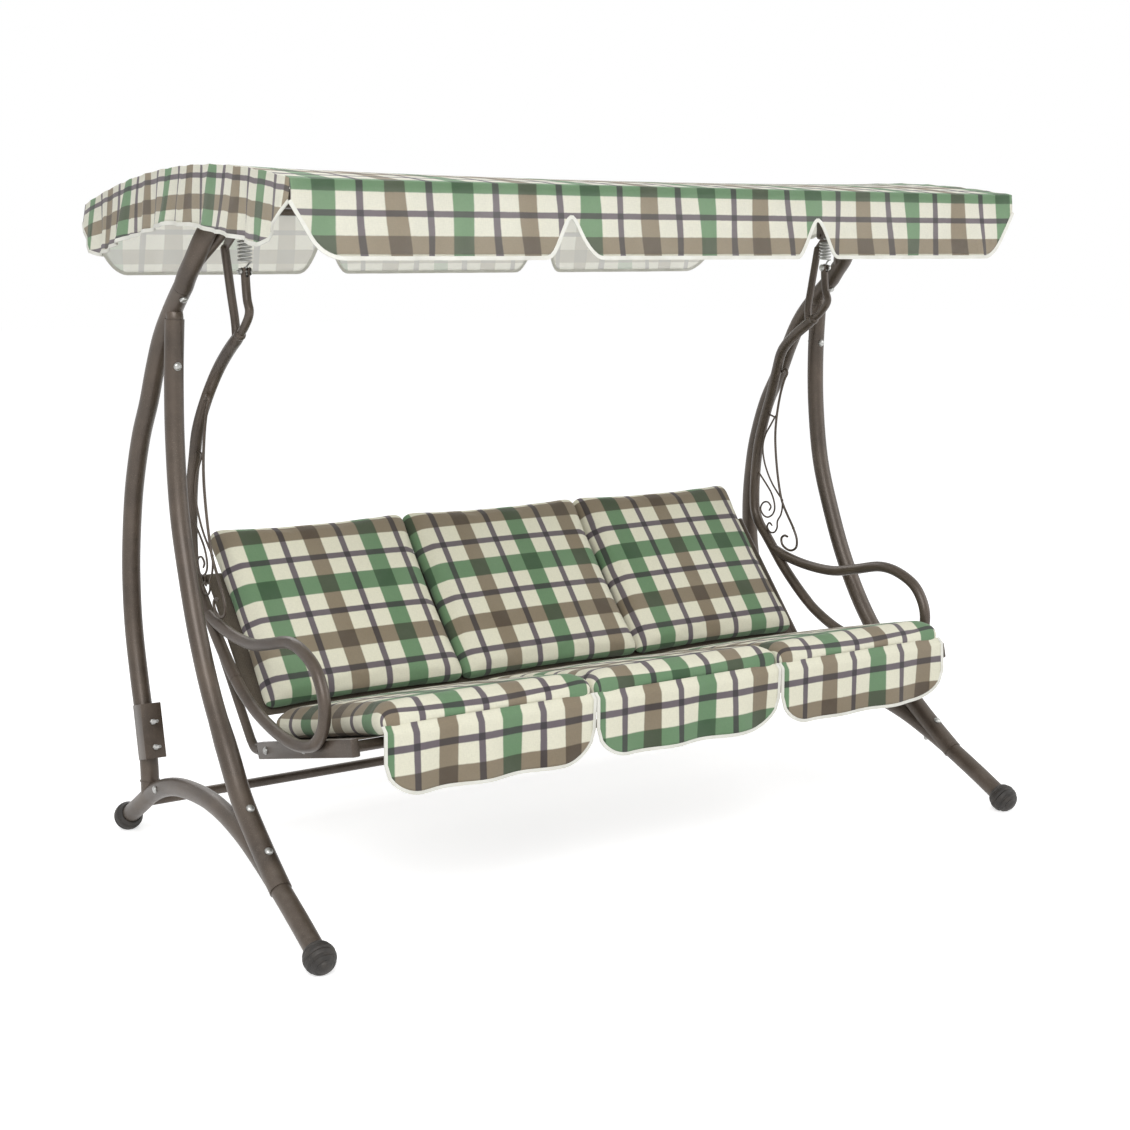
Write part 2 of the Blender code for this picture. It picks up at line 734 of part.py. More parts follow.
def build_spring(side):
    """Make one hanging spring: an eye, close coils and a second eye, as one wire."""
    sign = SIDES[side]
    top = hinge_point(sign * hanger_half_width)
    bottom = top - Vector((0, 0, spring_height))
    coil_top = top.z - spring_coil_drop
    coil_bottom = bottom.z + spring_coil_rise
    per_turn = 8
    count = spring_turns * per_turn
    coil = []
    for step in range(count + 1):
        share = step / count
        turn = 2 * math.pi * spring_turns * share
        coil.append(Vector((
            top.x + spring_coil * math.cos(turn), top.y + spring_coil * math.sin(turn),
            coil_top + (coil_bottom - coil_top) * share)))
    upper = eye_points(top, 1, coil[0])
    lower = eye_points(bottom, -1, coil[-1])
    path = upper + coil + list(reversed(lower))
    least = self_gap(path, spring_wire, 6) * 1000
    print(side, "spring's least gap to itself in mm:", round(least, 2))
    spring = tube("spring_" + side, path, spring_wire, 6)
    return add_part(spring, "steel")


def eye_points(centre, upward, coil_end):
    """Return the wire's points from an eye's free end to the end of the coil."""
    points = []
    for share in reversed(eye_turn_shares):
        turn = 2 * math.pi * share
        y = centre.y - spring_eye * math.sin(turn)
        z = centre.z + upward * spring_eye * math.cos(turn)
        points.append(Vector((centre.x, y, z)))
    neck = (points[-1] + coil_end) / 2
    neck.z = points[-1].z + (coil_end.z - points[-1].z) * neck_share
    return points + [neck]


def hang_point(sign, depth_share, drop_share, splay_share):
    """Return a swing arm's point from its shares behind and below the hinge."""
    x = hanger_half_width + (arm_half_width - hanger_half_width) * splay_share
    return hinge_point(sign * x) + Vector(
        (0, hang_depth * depth_share, -hang_depth * drop_share))


def arm_and_rest_paths(sign):
    """Return the arm's path and the armrest's path, which meet end to end."""
    arm_points = [hang_point(sign, *shares) for shares in arm_shares]
    rest_points = [hang_point(sign, depth, drop, 1.0) for depth, drop in armrest_shares]
    whole = curve_through(arm_points + rest_points[1:], 2)
    split = 2 * (len(arm_points) - 1)
    joint = whole[split]
    along = (whole[split + 1] - whole[split - 1]).normalized()
    arm_path = whole[:split - 1:2] + [joint - along * straight_run, joint]
    return arm_path, [joint + along * gap, joint + along * straight_run] + whole[split + 1:]


def build_arm(side):
    """Make one swing arm with its forked top, and the armrest and scrolls on it."""
    sign = SIDES[side]
    arm_path, rest_path = arm_and_rest_paths(sign)
    arm = tube("swing_arm_" + side, arm_path, arm_radius, 8)
    front = curve_through(
        [hang_point(sign, depth, drop, 0.0) for depth, drop in front_prong_shares], 1)
    tip = hinge_point(sign * hanger_half_width) - Vector((0, 0, spring_height))
    front[0] = tip + Vector((0, 0, clevis_top))
    front_prong = tube("front_prong", front, prong_radius, 8)
    rear = curve_through(
        [hang_point(sign, depth, drop, 0.0) for depth, drop in rear_prong_shares], 1)
    plate_x = sign * (hanger_half_width + plate_offset)
    lug = hinge_point(plate_x) + Vector(
        (0, hang_depth * lug_share, -hang_depth * lug_drop_share))
    rear = rear[:-1] + [lug]
    join(arm, tube("rear_prong", rear, prong_radius, 8))
    join(arm, front_prong)
    knot = bmesh.new()
    bmesh.ops.create_uvsphere(knot, u_segments=8, v_segments=6, radius=arm_radius + stub_wall)
    ball = mesh_object("fork_knot", knot, smooth=True)
    ball.matrix_world = Matrix.Translation(arm_path[0])
    join(arm, ball)
    curl = [hang_point(sign, depth, drop, 1.0) for depth, drop in arm_curl_shares]
    join(arm, tube("arm_curl", curl, curl_wire, 6))

    slot = pin_radius + pin_play
    outer = slot + plate_wall
    hinge = hinge_point(plate_x)
    across = plane_frame(hinge, Vector((0, 1, 0)), Vector((0, 0, 1)), Vector((1, 0, 0)))
    outline = hull_of([
        ((0, 0), outer), ((0, bounce_travel), outer),
        ((lug.y - hinge.y, lug.z - hinge.z), prong_radius + gap)])
    join(arm, prism("eye_plate", outline, plate_thickness, across))
    slot_outline = hull_of([((0, 0), slot), ((0, bounce_travel), slot)], 16)
    cut(arm, add_cutter(prism("eye_slot", slot_outline, plate_thickness + 2 * overrun, across)))

    fork = block(
        "clevis_slot", (clevis_slot, 4 * prong_radius, 2 * clevis_depth),
        Matrix.Translation(tip + Vector((0, 0, clevis_depth / 2))))
    cut(arm, add_cutter(fork))
    head_side = Vector((sign, 0, 0))
    hole = bolt_hole(tip, head_side, 2 * prong_radius)
    cut(arm, hole)
    bolt("clevis_bolt_" + side, tip, -head_side, prong_radius + shoulder, prong_radius)
    add_part(arm, "bronze")

    rest = tube("armrest_" + side, rest_path, armrest_radius, 8)
    arm_cutter = add_cutter(tube("arm_clear", arm_path, grown(arm_radius, 8), 8))
    cut(rest, arm_cutter)
    add_part(rest, "bronze")
    rest_cutter = add_cutter(tube("rest_clear", rest_path, grown(armrest_radius, 8), 8))
    build_scroll(side, arm_cutter, rest_cutter)


def build_scroll(side, arm_cutter, rest_cutter):
    """Make the welded scroll of wires between one arm and its armrest."""
    sign = SIDES[side]
    welded = None
    for name, shares in scroll_shares.items():
        points = [hang_point(sign, depth, drop, 1.0) for depth, drop in shares]
        radius = scroll_wire if name == "rim" else curl_wire
        wire = tube("scroll_" + name, points, radius, 6)
        if welded is None:
            welded = wire
            welded.name = "arm_scroll_" + side
        else:
            join(welded, wire)
    cut(welded, arm_cutter)
    cut(welded, rest_cutter)
    add_part(welded, "bronze")


def rail_direction():
    """Return the direction from the seat frame's rear corner to its front."""
    return Vector((0, -math.cos(seat_tilt), math.sin(seat_tilt)))


def seat_normal():
    """Return the seat's upward normal."""
    return Vector((0, math.sin(seat_tilt), math.cos(seat_tilt)))


def back_direction():
    """Return the direction up the backrest."""
    return Vector((0, math.sin(back_recline), math.cos(back_recline)))


def back_normal():
    """Return the backrest's forward normal."""
    return Vector((0, -math.cos(back_recline), math.sin(back_recline)))


def seat_corner(x):
    """Return the rear corner of the seat frame's centre line at this X."""
    return Vector((x, seat_corner_y, beam_height - hinge_drop - seat_corner_drop))


def build_seat_frame():
    """Make the rails, uprights, cross bars and slings of the seat."""
    rail_x = arm_half_width - arm_radius - gap - rail_thickness / 2
    upright_x = arm_half_width - arm_radius - gap - upright_radius
    rail_inner = rail_x - rail_thickness / 2 - gap
    rail_start = corner_radius + upright_radius
    turn = Matrix.Rotation(-seat_tilt, 4, "X")
    for side, sign in SIDES.items():
        middle = seat_corner(sign * rail_x) + rail_direction() * (rail_start + seat_depth) / 2
        size = (rail_thickness, seat_depth - rail_start, rail_height)
        rail = block("seat_rail_" + side, size, Matrix.Translation(middle) @ turn)
        add_part(rail, "bronze")
        corner = seat_corner(sign * upright_x)
        bend = curve_through([
            corner + rail_direction() * corner_radius,
            corner + (rail_direction() + back_direction()) * corner_radius * corner_share,
            corner + back_direction() * corner_radius], 2)
        foot = corner + rail_direction() * (rail_start - gap)
        rise = [foot] + bend + [corner + back_direction() * upright_length]
        add_part(tube("back_upright_" + side, rise, upright_radius, 10), "bronze")

    front = rail_direction() * (seat_depth - rail_height)
    add_part(rod(
        "seat_front_bar", seat_corner(-rail_inner) + front, seat_corner(rail_inner) + front,
        bar_radius), "bronze")
    bar_end = upright_x - upright_radius - gap
    rear = rail_direction() * corner_radius
    add_part(rod(
        "seat_rear_bar", seat_corner(-bar_end) + rear, seat_corner(bar_end) + rear,
        bar_radius), "bronze")
    top = back_direction() * (upright_length - bar_radius)
    add_part(rod(
        "back_top_bar", seat_corner(-bar_end) + top, seat_corner(bar_end) + top,
        bar_radius), "bronze")

    lift = bar_radius + gap + sling_thickness / 2
    seat_size = (2 * sling_half_width, (front - rear).length + bar_radius, sling_thickness)
    seat_middle = seat_corner(0) + (front + rear) / 2 + seat_normal() * lift
    add_part(block("seat_sling", seat_size, Matrix.Translation(seat_middle) @ turn), "sling")
    low = back_direction() * back_cushion_start
    back_size = (2 * sling_half_width, sling_thickness, (top - low).length + bar_radius)
    back_middle = seat_corner(0) + (top + low) / 2 + back_normal() * lift
    recline = Matrix.Rotation(-back_recline, 4, "X")
    add_part(block("back_sling", back_size, Matrix.Translation(back_middle) @ recline), "sling")


def cushion_cage(width, length, height):
    """Return a cushion's coarse cage, lying on z = 0, crowned and drawn in at its sides."""
    shape = bmesh.new()

    def layer(level, crown, draw):
        """Add one grid of cage points at a height, crowned in the middle."""
        points = {}
        for i, column in enumerate(cushion_column_shares):
            for j, row in enumerate(cushion_row_shares):
                middle = (1 - (2 * column) ** 2) * (1 - (2 * row - 1) ** 2)
                x = column * width
                y = row * length
                if i == 2 and j in (0, 4):
                    y += draw if j == 0 else -draw
                if j == 2 and i in (0, 4):
                    x += draw if i == 0 else -draw
                points[i, j] = shape.verts.new((x, y, level + crown * middle))
        return points

    bottom = layer(0.0, 0.0, cushion_draw)
    top = layer(height, cushion_crown, cushion_draw)
    last = len(cushion_column_shares) - 1
    for i in range(last):
        for j in range(last):
            cell = [(i, j), (i + 1, j), (i + 1, j + 1), (i, j + 1)]
            shape.faces.new([top[key] for key in cell])
            shape.faces.new([bottom[key] for key in reversed(cell)])
    ring = [(i, 0) for i in range(last)] + [(last, j) for j in range(last)]
    ring += [(i, last) for i in range(last, 0, -1)] + [(0, j) for j in range(last, 0, -1)]
    waist = []
    for key in ring:
        high = top[key].co.copy()
        high.z = height / 2
        inward = Vector((-high.x, length / 2 - high.y, 0)).normalized()
        waist.append(shape.verts.new(high + inward * cushion_draw / 2))
    for index, key in enumerate(ring):
        after = (index + 1) % len(ring)
        shape.faces.new([bottom[key], bottom[ring[after]], waist[after], waist[index]])
        shape.faces.new([waist[index], waist[after], top[ring[after]], top[key]])
    bmesh.ops.recalc_face_normals(shape, faces=shape.faces)
    return shape


def build_cushion(name, width, length, height, frame):
    """Make one soft cushion from its cage."""
    cushion = mesh_object(name, cushion_cage(width, length, height), smooth=True)
    soft = cushion.modifiers.new("soft", "SUBSURF")
    soft.levels = 1
    soft.render_levels = 1
    cushion.matrix_world = frame
    return cushion


def build_flap(width, edge):
    """Return the cloth flap that hangs at the front of one seat cushion."""
    shape = bmesh.new()
    rows = []
    for share in flap_row_shares:
        row = []
        for step in range(flap_columns + 1):
            across = 2 * step / flap_columns - 1
            corner = max(0.0, abs(across) - 1 + flap_corner_share) / flap_corner_share
            rounded = 1 - flap_rise_share * share * corner
            fold = flap_fold * share * math.sin(3 * math.pi * across)
            point = edge + Vector((width / 2 * across, fold, -flap_drop * share * rounded))
            row.append(shape.verts.new(point))
        rows.append(row)
    for upper, lower in zip(rows, rows[1:]):
        for step in range(flap_columns):
            shape.faces.new([upper[step], lower[step], lower[step + 1], upper[step + 1]])
    flap = mesh_object("flap", shape)
    thick = flap.modifiers.new("thickness", "SOLIDIFY")
    thick.thickness = flap_thickness
    thick.offset = 0
    return flap


def build_cushions():
    """Make the three seat cushions with their flaps, and the three back cushions."""
    pitch = 2 * cushion_half_width / 3
    width = pitch - cushion_joint
    lift = bar_radius + sling_thickness + 3 * gap
    seat_x = Vector((1, 0, 0))
    for place, label in ((-1, "left"), (0, "middle"), (1, "right")):
        x = place * pitch
        start = seat_corner(x) + rail_direction() * seat_cushion_rear + seat_normal() * lift
        frame = plane_frame(start, -seat_x, rail_direction(), seat_normal())
        cushion = build_cushion(
            "seat_cushion_" + label, width, seat_cushion_depth, seat_cushion_height, frame)
        front = start + rail_direction() * seat_cushion_depth
        edge = front + seat_normal() * seat_cushion_height * flap_height_share
        edge.y += 2 * cushion_draw
        join(cushion, build_flap(width - flap_gap, edge))
        add_part(cushion, "cloth")

        start = seat_corner(x) + back_direction() * back_cushion_start + back_normal() * lift
        frame = plane_frame(start, seat_x, back_direction(), back_normal())
        cushion = build_cushion(
            "back_cushion_" + label, width, back_cushion_length, back_cushion_height, frame)
        add_part(cushion, "cloth")


def plane_frame(origin, x_axis, y_axis, z_axis):
    """Return the frame with the given origin and axes."""
    return Matrix((
        (x_axis.x, y_axis.x, z_axis.x, origin.x), (x_axis.y, y_axis.y, z_axis.y, origin.y),
        (x_axis.z, y_axis.z, z_axis.z, origin.z), (0, 0, 0, 1)))


def canopy_top(x, y):
    """Return the height of the canopy's top cloth at a place."""
    share = (y - canopy_front_y) / (canopy_rear_y - canopy_front_y)
    edge = canopy_front_z + (canopy_rear_z - canopy_front_z) * share
    arch = canopy_arch * 4 * share * (1 - share)
    sag = canopy_sag_share * (1 - (x / canopy_half_width) ** 2)
    return edge + arch * (1 - sag)


def hem_drop(x, full):
    """Return how far a front or rear hem hangs at this X, with its notches and ends."""
    off_notch = (abs(x) - notch_x) / notch_half_width
    drop = full
    if abs(off_notch) < 1:
        drop = full - (full - notch_drop) * math.cos(off_notch * math.pi / 2) ** notch_power
    from_corner = (canopy_half_width - abs(x)) / (canopy_half_width * end_share)
    if from_corner < 1:
        drop = corner_drop + (full - corner_drop) * math.sin(from_corner * math.pi / 2)
    return drop


def build_canopy_cover():
    """Make the cloth canopy: an arched top with a hanging valance on every side."""
    columns = [-share for share in reversed(column_shares[1:])] + column_shares
    depth = canopy_rear_y - canopy_front_y
    shape = bmesh.new()
    top = {}
    for i, column in enumerate(columns):
        for j, row in enumerate(row_shares):
            x = column * canopy_half_width
            y = canopy_front_y + depth * row
            top[i, j] = shape.verts.new((x, y, canopy_top(x, y)))
    last_i, last_j = len(columns) - 1, len(row_shares) - 1
    for i in range(last_i):
        for j in range(last_j):
            shape.faces.new([top[i, j], top[i + 1, j], top[i + 1, j + 1], top[i, j + 1]])

    def hang(keys, drop_at, outward):
        """Hang one valance from a run of the top's edge points."""
        rows = [[top[key] for key in keys]]
        for share in drop_shares[1:]:
            row = []
            for index, key in enumerate(keys):
                start = top[key].co
                drop = drop_at(start)
                wave = canopy_fold * share * math.sin(fold_turn * index)
                out = canopy_flare * share * drop / front_drop + wave * min(1, drop / side_drop)
                place = start + outward * out - Vector((0, 0, drop * share))
                row.append(shape.verts.new(place))
            rows.append(row)
        for upper, lower in zip(rows, rows[1:]):
            for step in range(len(keys) - 1):
                shape.faces.new([upper[step], lower[step], lower[step + 1], upper[step + 1]])

    def side_hem(point):
        """Return how far a side hem hangs at a point of the side edge."""
        share = (point.y - canopy_front_y) / depth
        bow = abs(2 * share - 1)
        end = min(share, 1 - share) / end_share
        full = side_drop + (front_drop - side_drop) * bow
        return corner_drop + (full - corner_drop) * math.sin(min(1, end) * math.pi / 2)

    front_edge = [(i, 0) for i in range(last_i + 1)]
    rear_edge = [(i, last_j) for i in range(last_i, -1, -1)]
    left_edge = [(0, j) for j in range(last_j, -1, -1)]
    right_edge = [(last_i, j) for j in range(last_j + 1)]
    hang(front_edge, lambda point: hem_drop(point.x, front_drop), Vector((0, -1, 0)))
    hang(rear_edge, lambda point: hem_drop(point.x, rear_drop), Vector((0, 1, 0)))
    hang(left_edge, side_hem, Vector((-1, 0, 0)))
    hang(right_edge, side_hem, Vector((1, 0, 0)))
    bmesh.ops.recalc_face_normals(shape, faces=shape.faces)
    cover = mesh_object("canopy_cover", shape, smooth=True)
    thick = cover.modifiers.new("thickness", "SOLIDIFY")
    thick.thickness = canopy_cloth
    thick.offset = -1
    add_part(cover, "cloth")


def cloth_rows():
    """Return the depths at which the top cloth has its rows of points."""
    return [canopy_front_y + (canopy_rear_y - canopy_front_y) * share for share in row_shares]


def below_cloth(x, y):
    """Return the centre height of a bar that just clears the cloth above it."""
    rows = cloth_rows()
    after = next(index for index, row in enumerate(rows) if row >= y)
    low, high = rows[after - 1], rows[after]
    share = (y - low) / (high - low)
    cloth = canopy_top(x, low) + (canopy_top(x, high) - canopy_top(x, low)) * share
    return cloth - canopy_cloth - canopy_bar_radius - bar_clearance


def build_canopy_frame():
    """Make the bars, side arches and clamped supports that carry the cloth."""
    inset = canopy_cloth + canopy_bar_radius + bar_clearance
    bars = {
        "front": canopy_front_y + inset,
        "rear": canopy_rear_y - inset}
    paths = {}
    reach = canopy_half_width - inset
    for label, y in bars.items():
        path = []
        for step in range(bar_steps + 1):
            x = reach * (2 * step / bar_steps - 1)
            path.append(Vector((x, y, below_cloth(x, y))))
        paths[label] = path
        add_part(tube(f"canopy_{label}_bar", path, canopy_bar_radius, 8), "bronze")
    clears = [add_cutter(tube("bar_clear", path, grown(canopy_bar_radius, 8), 8))
              for path in paths.values()]
    depths = [bars["front"] + canopy_bar_radius / 2] + cloth_rows()[1:-1]
    depths += [bars["rear"] - canopy_bar_radius / 2]
    for side, sign in SIDES.items():
        for name, x in (("side", sign * (canopy_half_width - canopy_arch_inset)),
                        ("support", sign * support_x)):
            points = [Vector((x, y, below_cloth(x, y))) for y in depths]
            bar = tube(f"canopy_{name}_{side}", points, canopy_bar_radius, 8)
            if name == "support":
                add_clamp(bar, x, points)
            for clear in clears:
                cut(bar, clear)
            add_part(bar, "bronze")


def add_clamp(bar, x, points):
    """Weld the clamp that grips the top beam under one canopy support."""
    inner = socket(tube_radius, 16)
    outer = tube_radius + clamp_wall
    frame = aim(Vector((x - clamp_width / 2, beam_y, beam_height)),
                Vector((x + clamp_width / 2, beam_y, beam_height)))
    ring = rod("clamp", frame.translation, frame @ Vector((0, 0, clamp_width)), outer, 16)
    over = min(points, key=lambda point: abs(point.y - beam_y))
    height = over.z - beam_height
    middle = Vector((x, beam_y, beam_height + height / 2))
    size = (clamp_width / 2, clamp_width / 2, height)
    post = block("clamp_post", size, Matrix.Translation(middle))
    join(bar, ring)
    join(bar, post)
    start = frame @ Vector((0, 0, -overrun))
    stop = frame @ Vector((0, 0, clamp_width + overrun))
    cut(bar, add_cutter(rod("clamp_bore", start, stop, inner, 16)))


def add_empty(name, parent=None):
    """Put an empty on the swing axis, for the pieces that move with it."""
    empty = bpy.data.objects.new(name, None)
    empty.location = hinge_point(0) if parent is None else (0, 0, 0)
    empty.parent = parent
    parts.objects.link(empty)
    return empty


def hang_pieces():
    """Hang the moving pieces on the swing axis, the seat's by way of the springs' slide."""
    axis = None
    for name, starts in CARRIED.items():
        axis = add_empty(name, axis)
        bpy.context.view_layer.update()
        for piece in parts.objects:
            if piece.type == "MESH" and piece.name.startswith(starts):
                piece.parent = axis
                piece.matrix_parent_inverse = axis.matrix_world.inverted()


for old in list(bpy.data.objects):
    bpy.data.objects.remove(old)
parts = make_collection("canopy_swing_chair")
cutters = make_collection("cutters")

for side_name in SIDES:
    bends_of_elbow = build_side(side_name)
    build_hanger_bracket(side_name, bends_of_elbow)
    build_spring(side_name)
    build_arm(side_name)
build_beam()
build_seat_frame()
build_cushions()
build_canopy_frame()
build_canopy_cover()
hang_pieces()
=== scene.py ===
"""Looks of the three-seat canopy swing chair: its smooth pieces, its finishes and its studio.

Metres, +Z up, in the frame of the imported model.  The origin is on the floor below the
middle of the chair, +X runs along the seat and -Y is the front.
"""
from __future__ import annotations

import logging
import math
from dataclasses import dataclass, field, replace
from enum import Enum
from typing import Callable, Sequence

import bmesh
import bpy
import numpy as np
from mathutils import Matrix, Vector, geometry


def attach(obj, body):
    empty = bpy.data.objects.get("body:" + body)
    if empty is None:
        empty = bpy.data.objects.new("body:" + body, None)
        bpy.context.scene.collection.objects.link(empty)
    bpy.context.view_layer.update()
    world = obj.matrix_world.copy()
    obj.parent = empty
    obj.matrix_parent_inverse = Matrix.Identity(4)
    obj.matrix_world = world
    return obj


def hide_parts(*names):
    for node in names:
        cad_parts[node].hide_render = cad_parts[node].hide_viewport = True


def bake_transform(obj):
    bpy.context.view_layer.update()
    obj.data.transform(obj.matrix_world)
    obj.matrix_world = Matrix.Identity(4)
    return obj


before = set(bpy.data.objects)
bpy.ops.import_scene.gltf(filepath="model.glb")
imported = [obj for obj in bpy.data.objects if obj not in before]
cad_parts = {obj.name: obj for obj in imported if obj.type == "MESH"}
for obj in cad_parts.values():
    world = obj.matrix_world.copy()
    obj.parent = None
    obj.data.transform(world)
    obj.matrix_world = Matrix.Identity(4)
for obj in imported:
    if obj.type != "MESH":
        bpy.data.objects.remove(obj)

LOG = logging.getLogger("swing_chair")
Points = Sequence[Vector]
Bolts = list[tuple[Vector, Vector]]
Colour = tuple[float, float, float, float]
Socket = bpy.types.NodeSocket
Mesh = bpy.types.Mesh
Material = bpy.types.Material
WHITE: Colour = (1.0, 1.0, 1.0, 1.0)
NUMBER = "NodeSocketFloat"
X_AXIS, Y_AXIS, Z_AXIS = Vector((1, 0, 0)), Vector((0, 1, 0)), Vector((0, 0, 1))
CREASE = math.radians(38)
EASED = math.radians(25)
TINY = 1e-7


class Body(Enum):
    """The moving bodies that pieces ride on."""

    FRAME = "frame"
    HANGER = "hanger"
    SEAT = "seat"


class Slot(Enum):
    """The material slots of the record."""

    PAINT = "bronze_paint"
    CAP = "dark_cap"
    ZINC = "zinc_steel"
    SLING = "dark_sling"
    CUSHION = "plaid_cushion"
    CANOPY = "plaid_canopy"


class Placed(Enum):
    """A named place along the chair, with a number for its X."""

    @property
    def label(self) -> str:
        """Return the place's name as the nodes spell it."""
        return self.name.lower()


class Side(Placed):
    """The chair's two sides, with the sign of their X."""

    LEFT = -1
    RIGHT = 1


class Section(Placed):
    """The three cushions of a row, counted from the middle."""

    LEFT = -1
    MIDDLE = 0
    RIGHT = 1


class Hold(Enum):
    """The ways in which a sheet of cloth is held."""

    HUNG = "hung"
    STRETCHED = "stretched"


def linear(red: float, green: float, blue: float) -> Colour:
    """Return a linear colour from display values of 0 to 255."""
    return (*(share / 12.92 if share <= 0.04045 else ((share + 0.055) / 1.055) ** 2.4
              for share in (red / 255, green / 255, blue / 255)), 1.0)


def grey(value: float) -> Colour:
    """Return a linear grey."""
    return value, value, value, 1.0


def curve_through(points: Sequence, steps: int) -> list[Vector]:
    """Return a centripetal Catmull-Rom curve through the points.

    Args:
        points: The points that the curve passes through.
        steps: How many points stand for each stretch.

    Returns:
        The curve's points, the last of the given ones included.
    """
    known = [Vector(point) for point in points]
    known = [2 * known[0] - known[1]] + known + [2 * known[-1] - known[-2]]
    result: list[Vector] = []
    for index in range(1, len(known) - 2):
        first, start, end, last = known[index - 1:index + 3]
        knot_1 = math.sqrt((start - first).length)
        knot_2 = knot_1 + math.sqrt((end - start).length)
        knot_3 = knot_2 + math.sqrt((last - end).length)
        for step in range(steps):
            at = knot_1 + (knot_2 - knot_1) * step / steps
            run_1 = first.lerp(start, at / knot_1)
            run_2 = start.lerp(end, (at - knot_1) / (knot_2 - knot_1))
            run_3 = end.lerp(last, (at - knot_2) / (knot_3 - knot_2))
            left = run_1.lerp(run_2, at / knot_2)
            right = run_2.lerp(run_3, (at - knot_1) / (knot_3 - knot_1))
            result.append(left.lerp(right, (at - knot_1) / (knot_2 - knot_1)))
    return result + [known[-2]]


def aim(start: Vector, end: Vector) -> Matrix:
    """Return the frame at the start whose Z runs towards the end."""
    turn = (Vector(end) - Vector(start)).to_track_quat("Z", "Y")
    return Matrix.Translation(start) @ turn.to_matrix().to_4x4()


def axes(origin: Vector, x_axis: Vector, y_axis: Vector, z_axis: Vector) -> Matrix:
    """Return the frame with the given origin and axes."""
    return Matrix((
        (x_axis.x, y_axis.x, z_axis.x, origin.x), (x_axis.y, y_axis.y, z_axis.y, origin.y),
        (x_axis.z, y_axis.z, z_axis.z, origin.z), (0, 0, 0, 1)))


def straight(start: Vector, end: Vector, steps: int) -> list[Vector]:
    """Return evenly spaced points from the start to the end."""
    return [start.lerp(end, step / steps) for step in range(steps + 1)]


def rectangle(half_long: float, half_tall: float) -> list[tuple[float, float]]:
    """Return the corners of a rectangle about the origin."""
    return [(-half_long, -half_tall), (half_long, -half_tall),
            (half_long, half_tall), (-half_long, half_tall)]


def circle(radius: float, steps: int) -> list[tuple[float, float]]:
    """Return evenly spaced points of a circle about the origin."""
    return [(radius * math.cos(2 * math.pi * step / steps),
             radius * math.sin(2 * math.pi * step / steps)) for step in range(steps)]


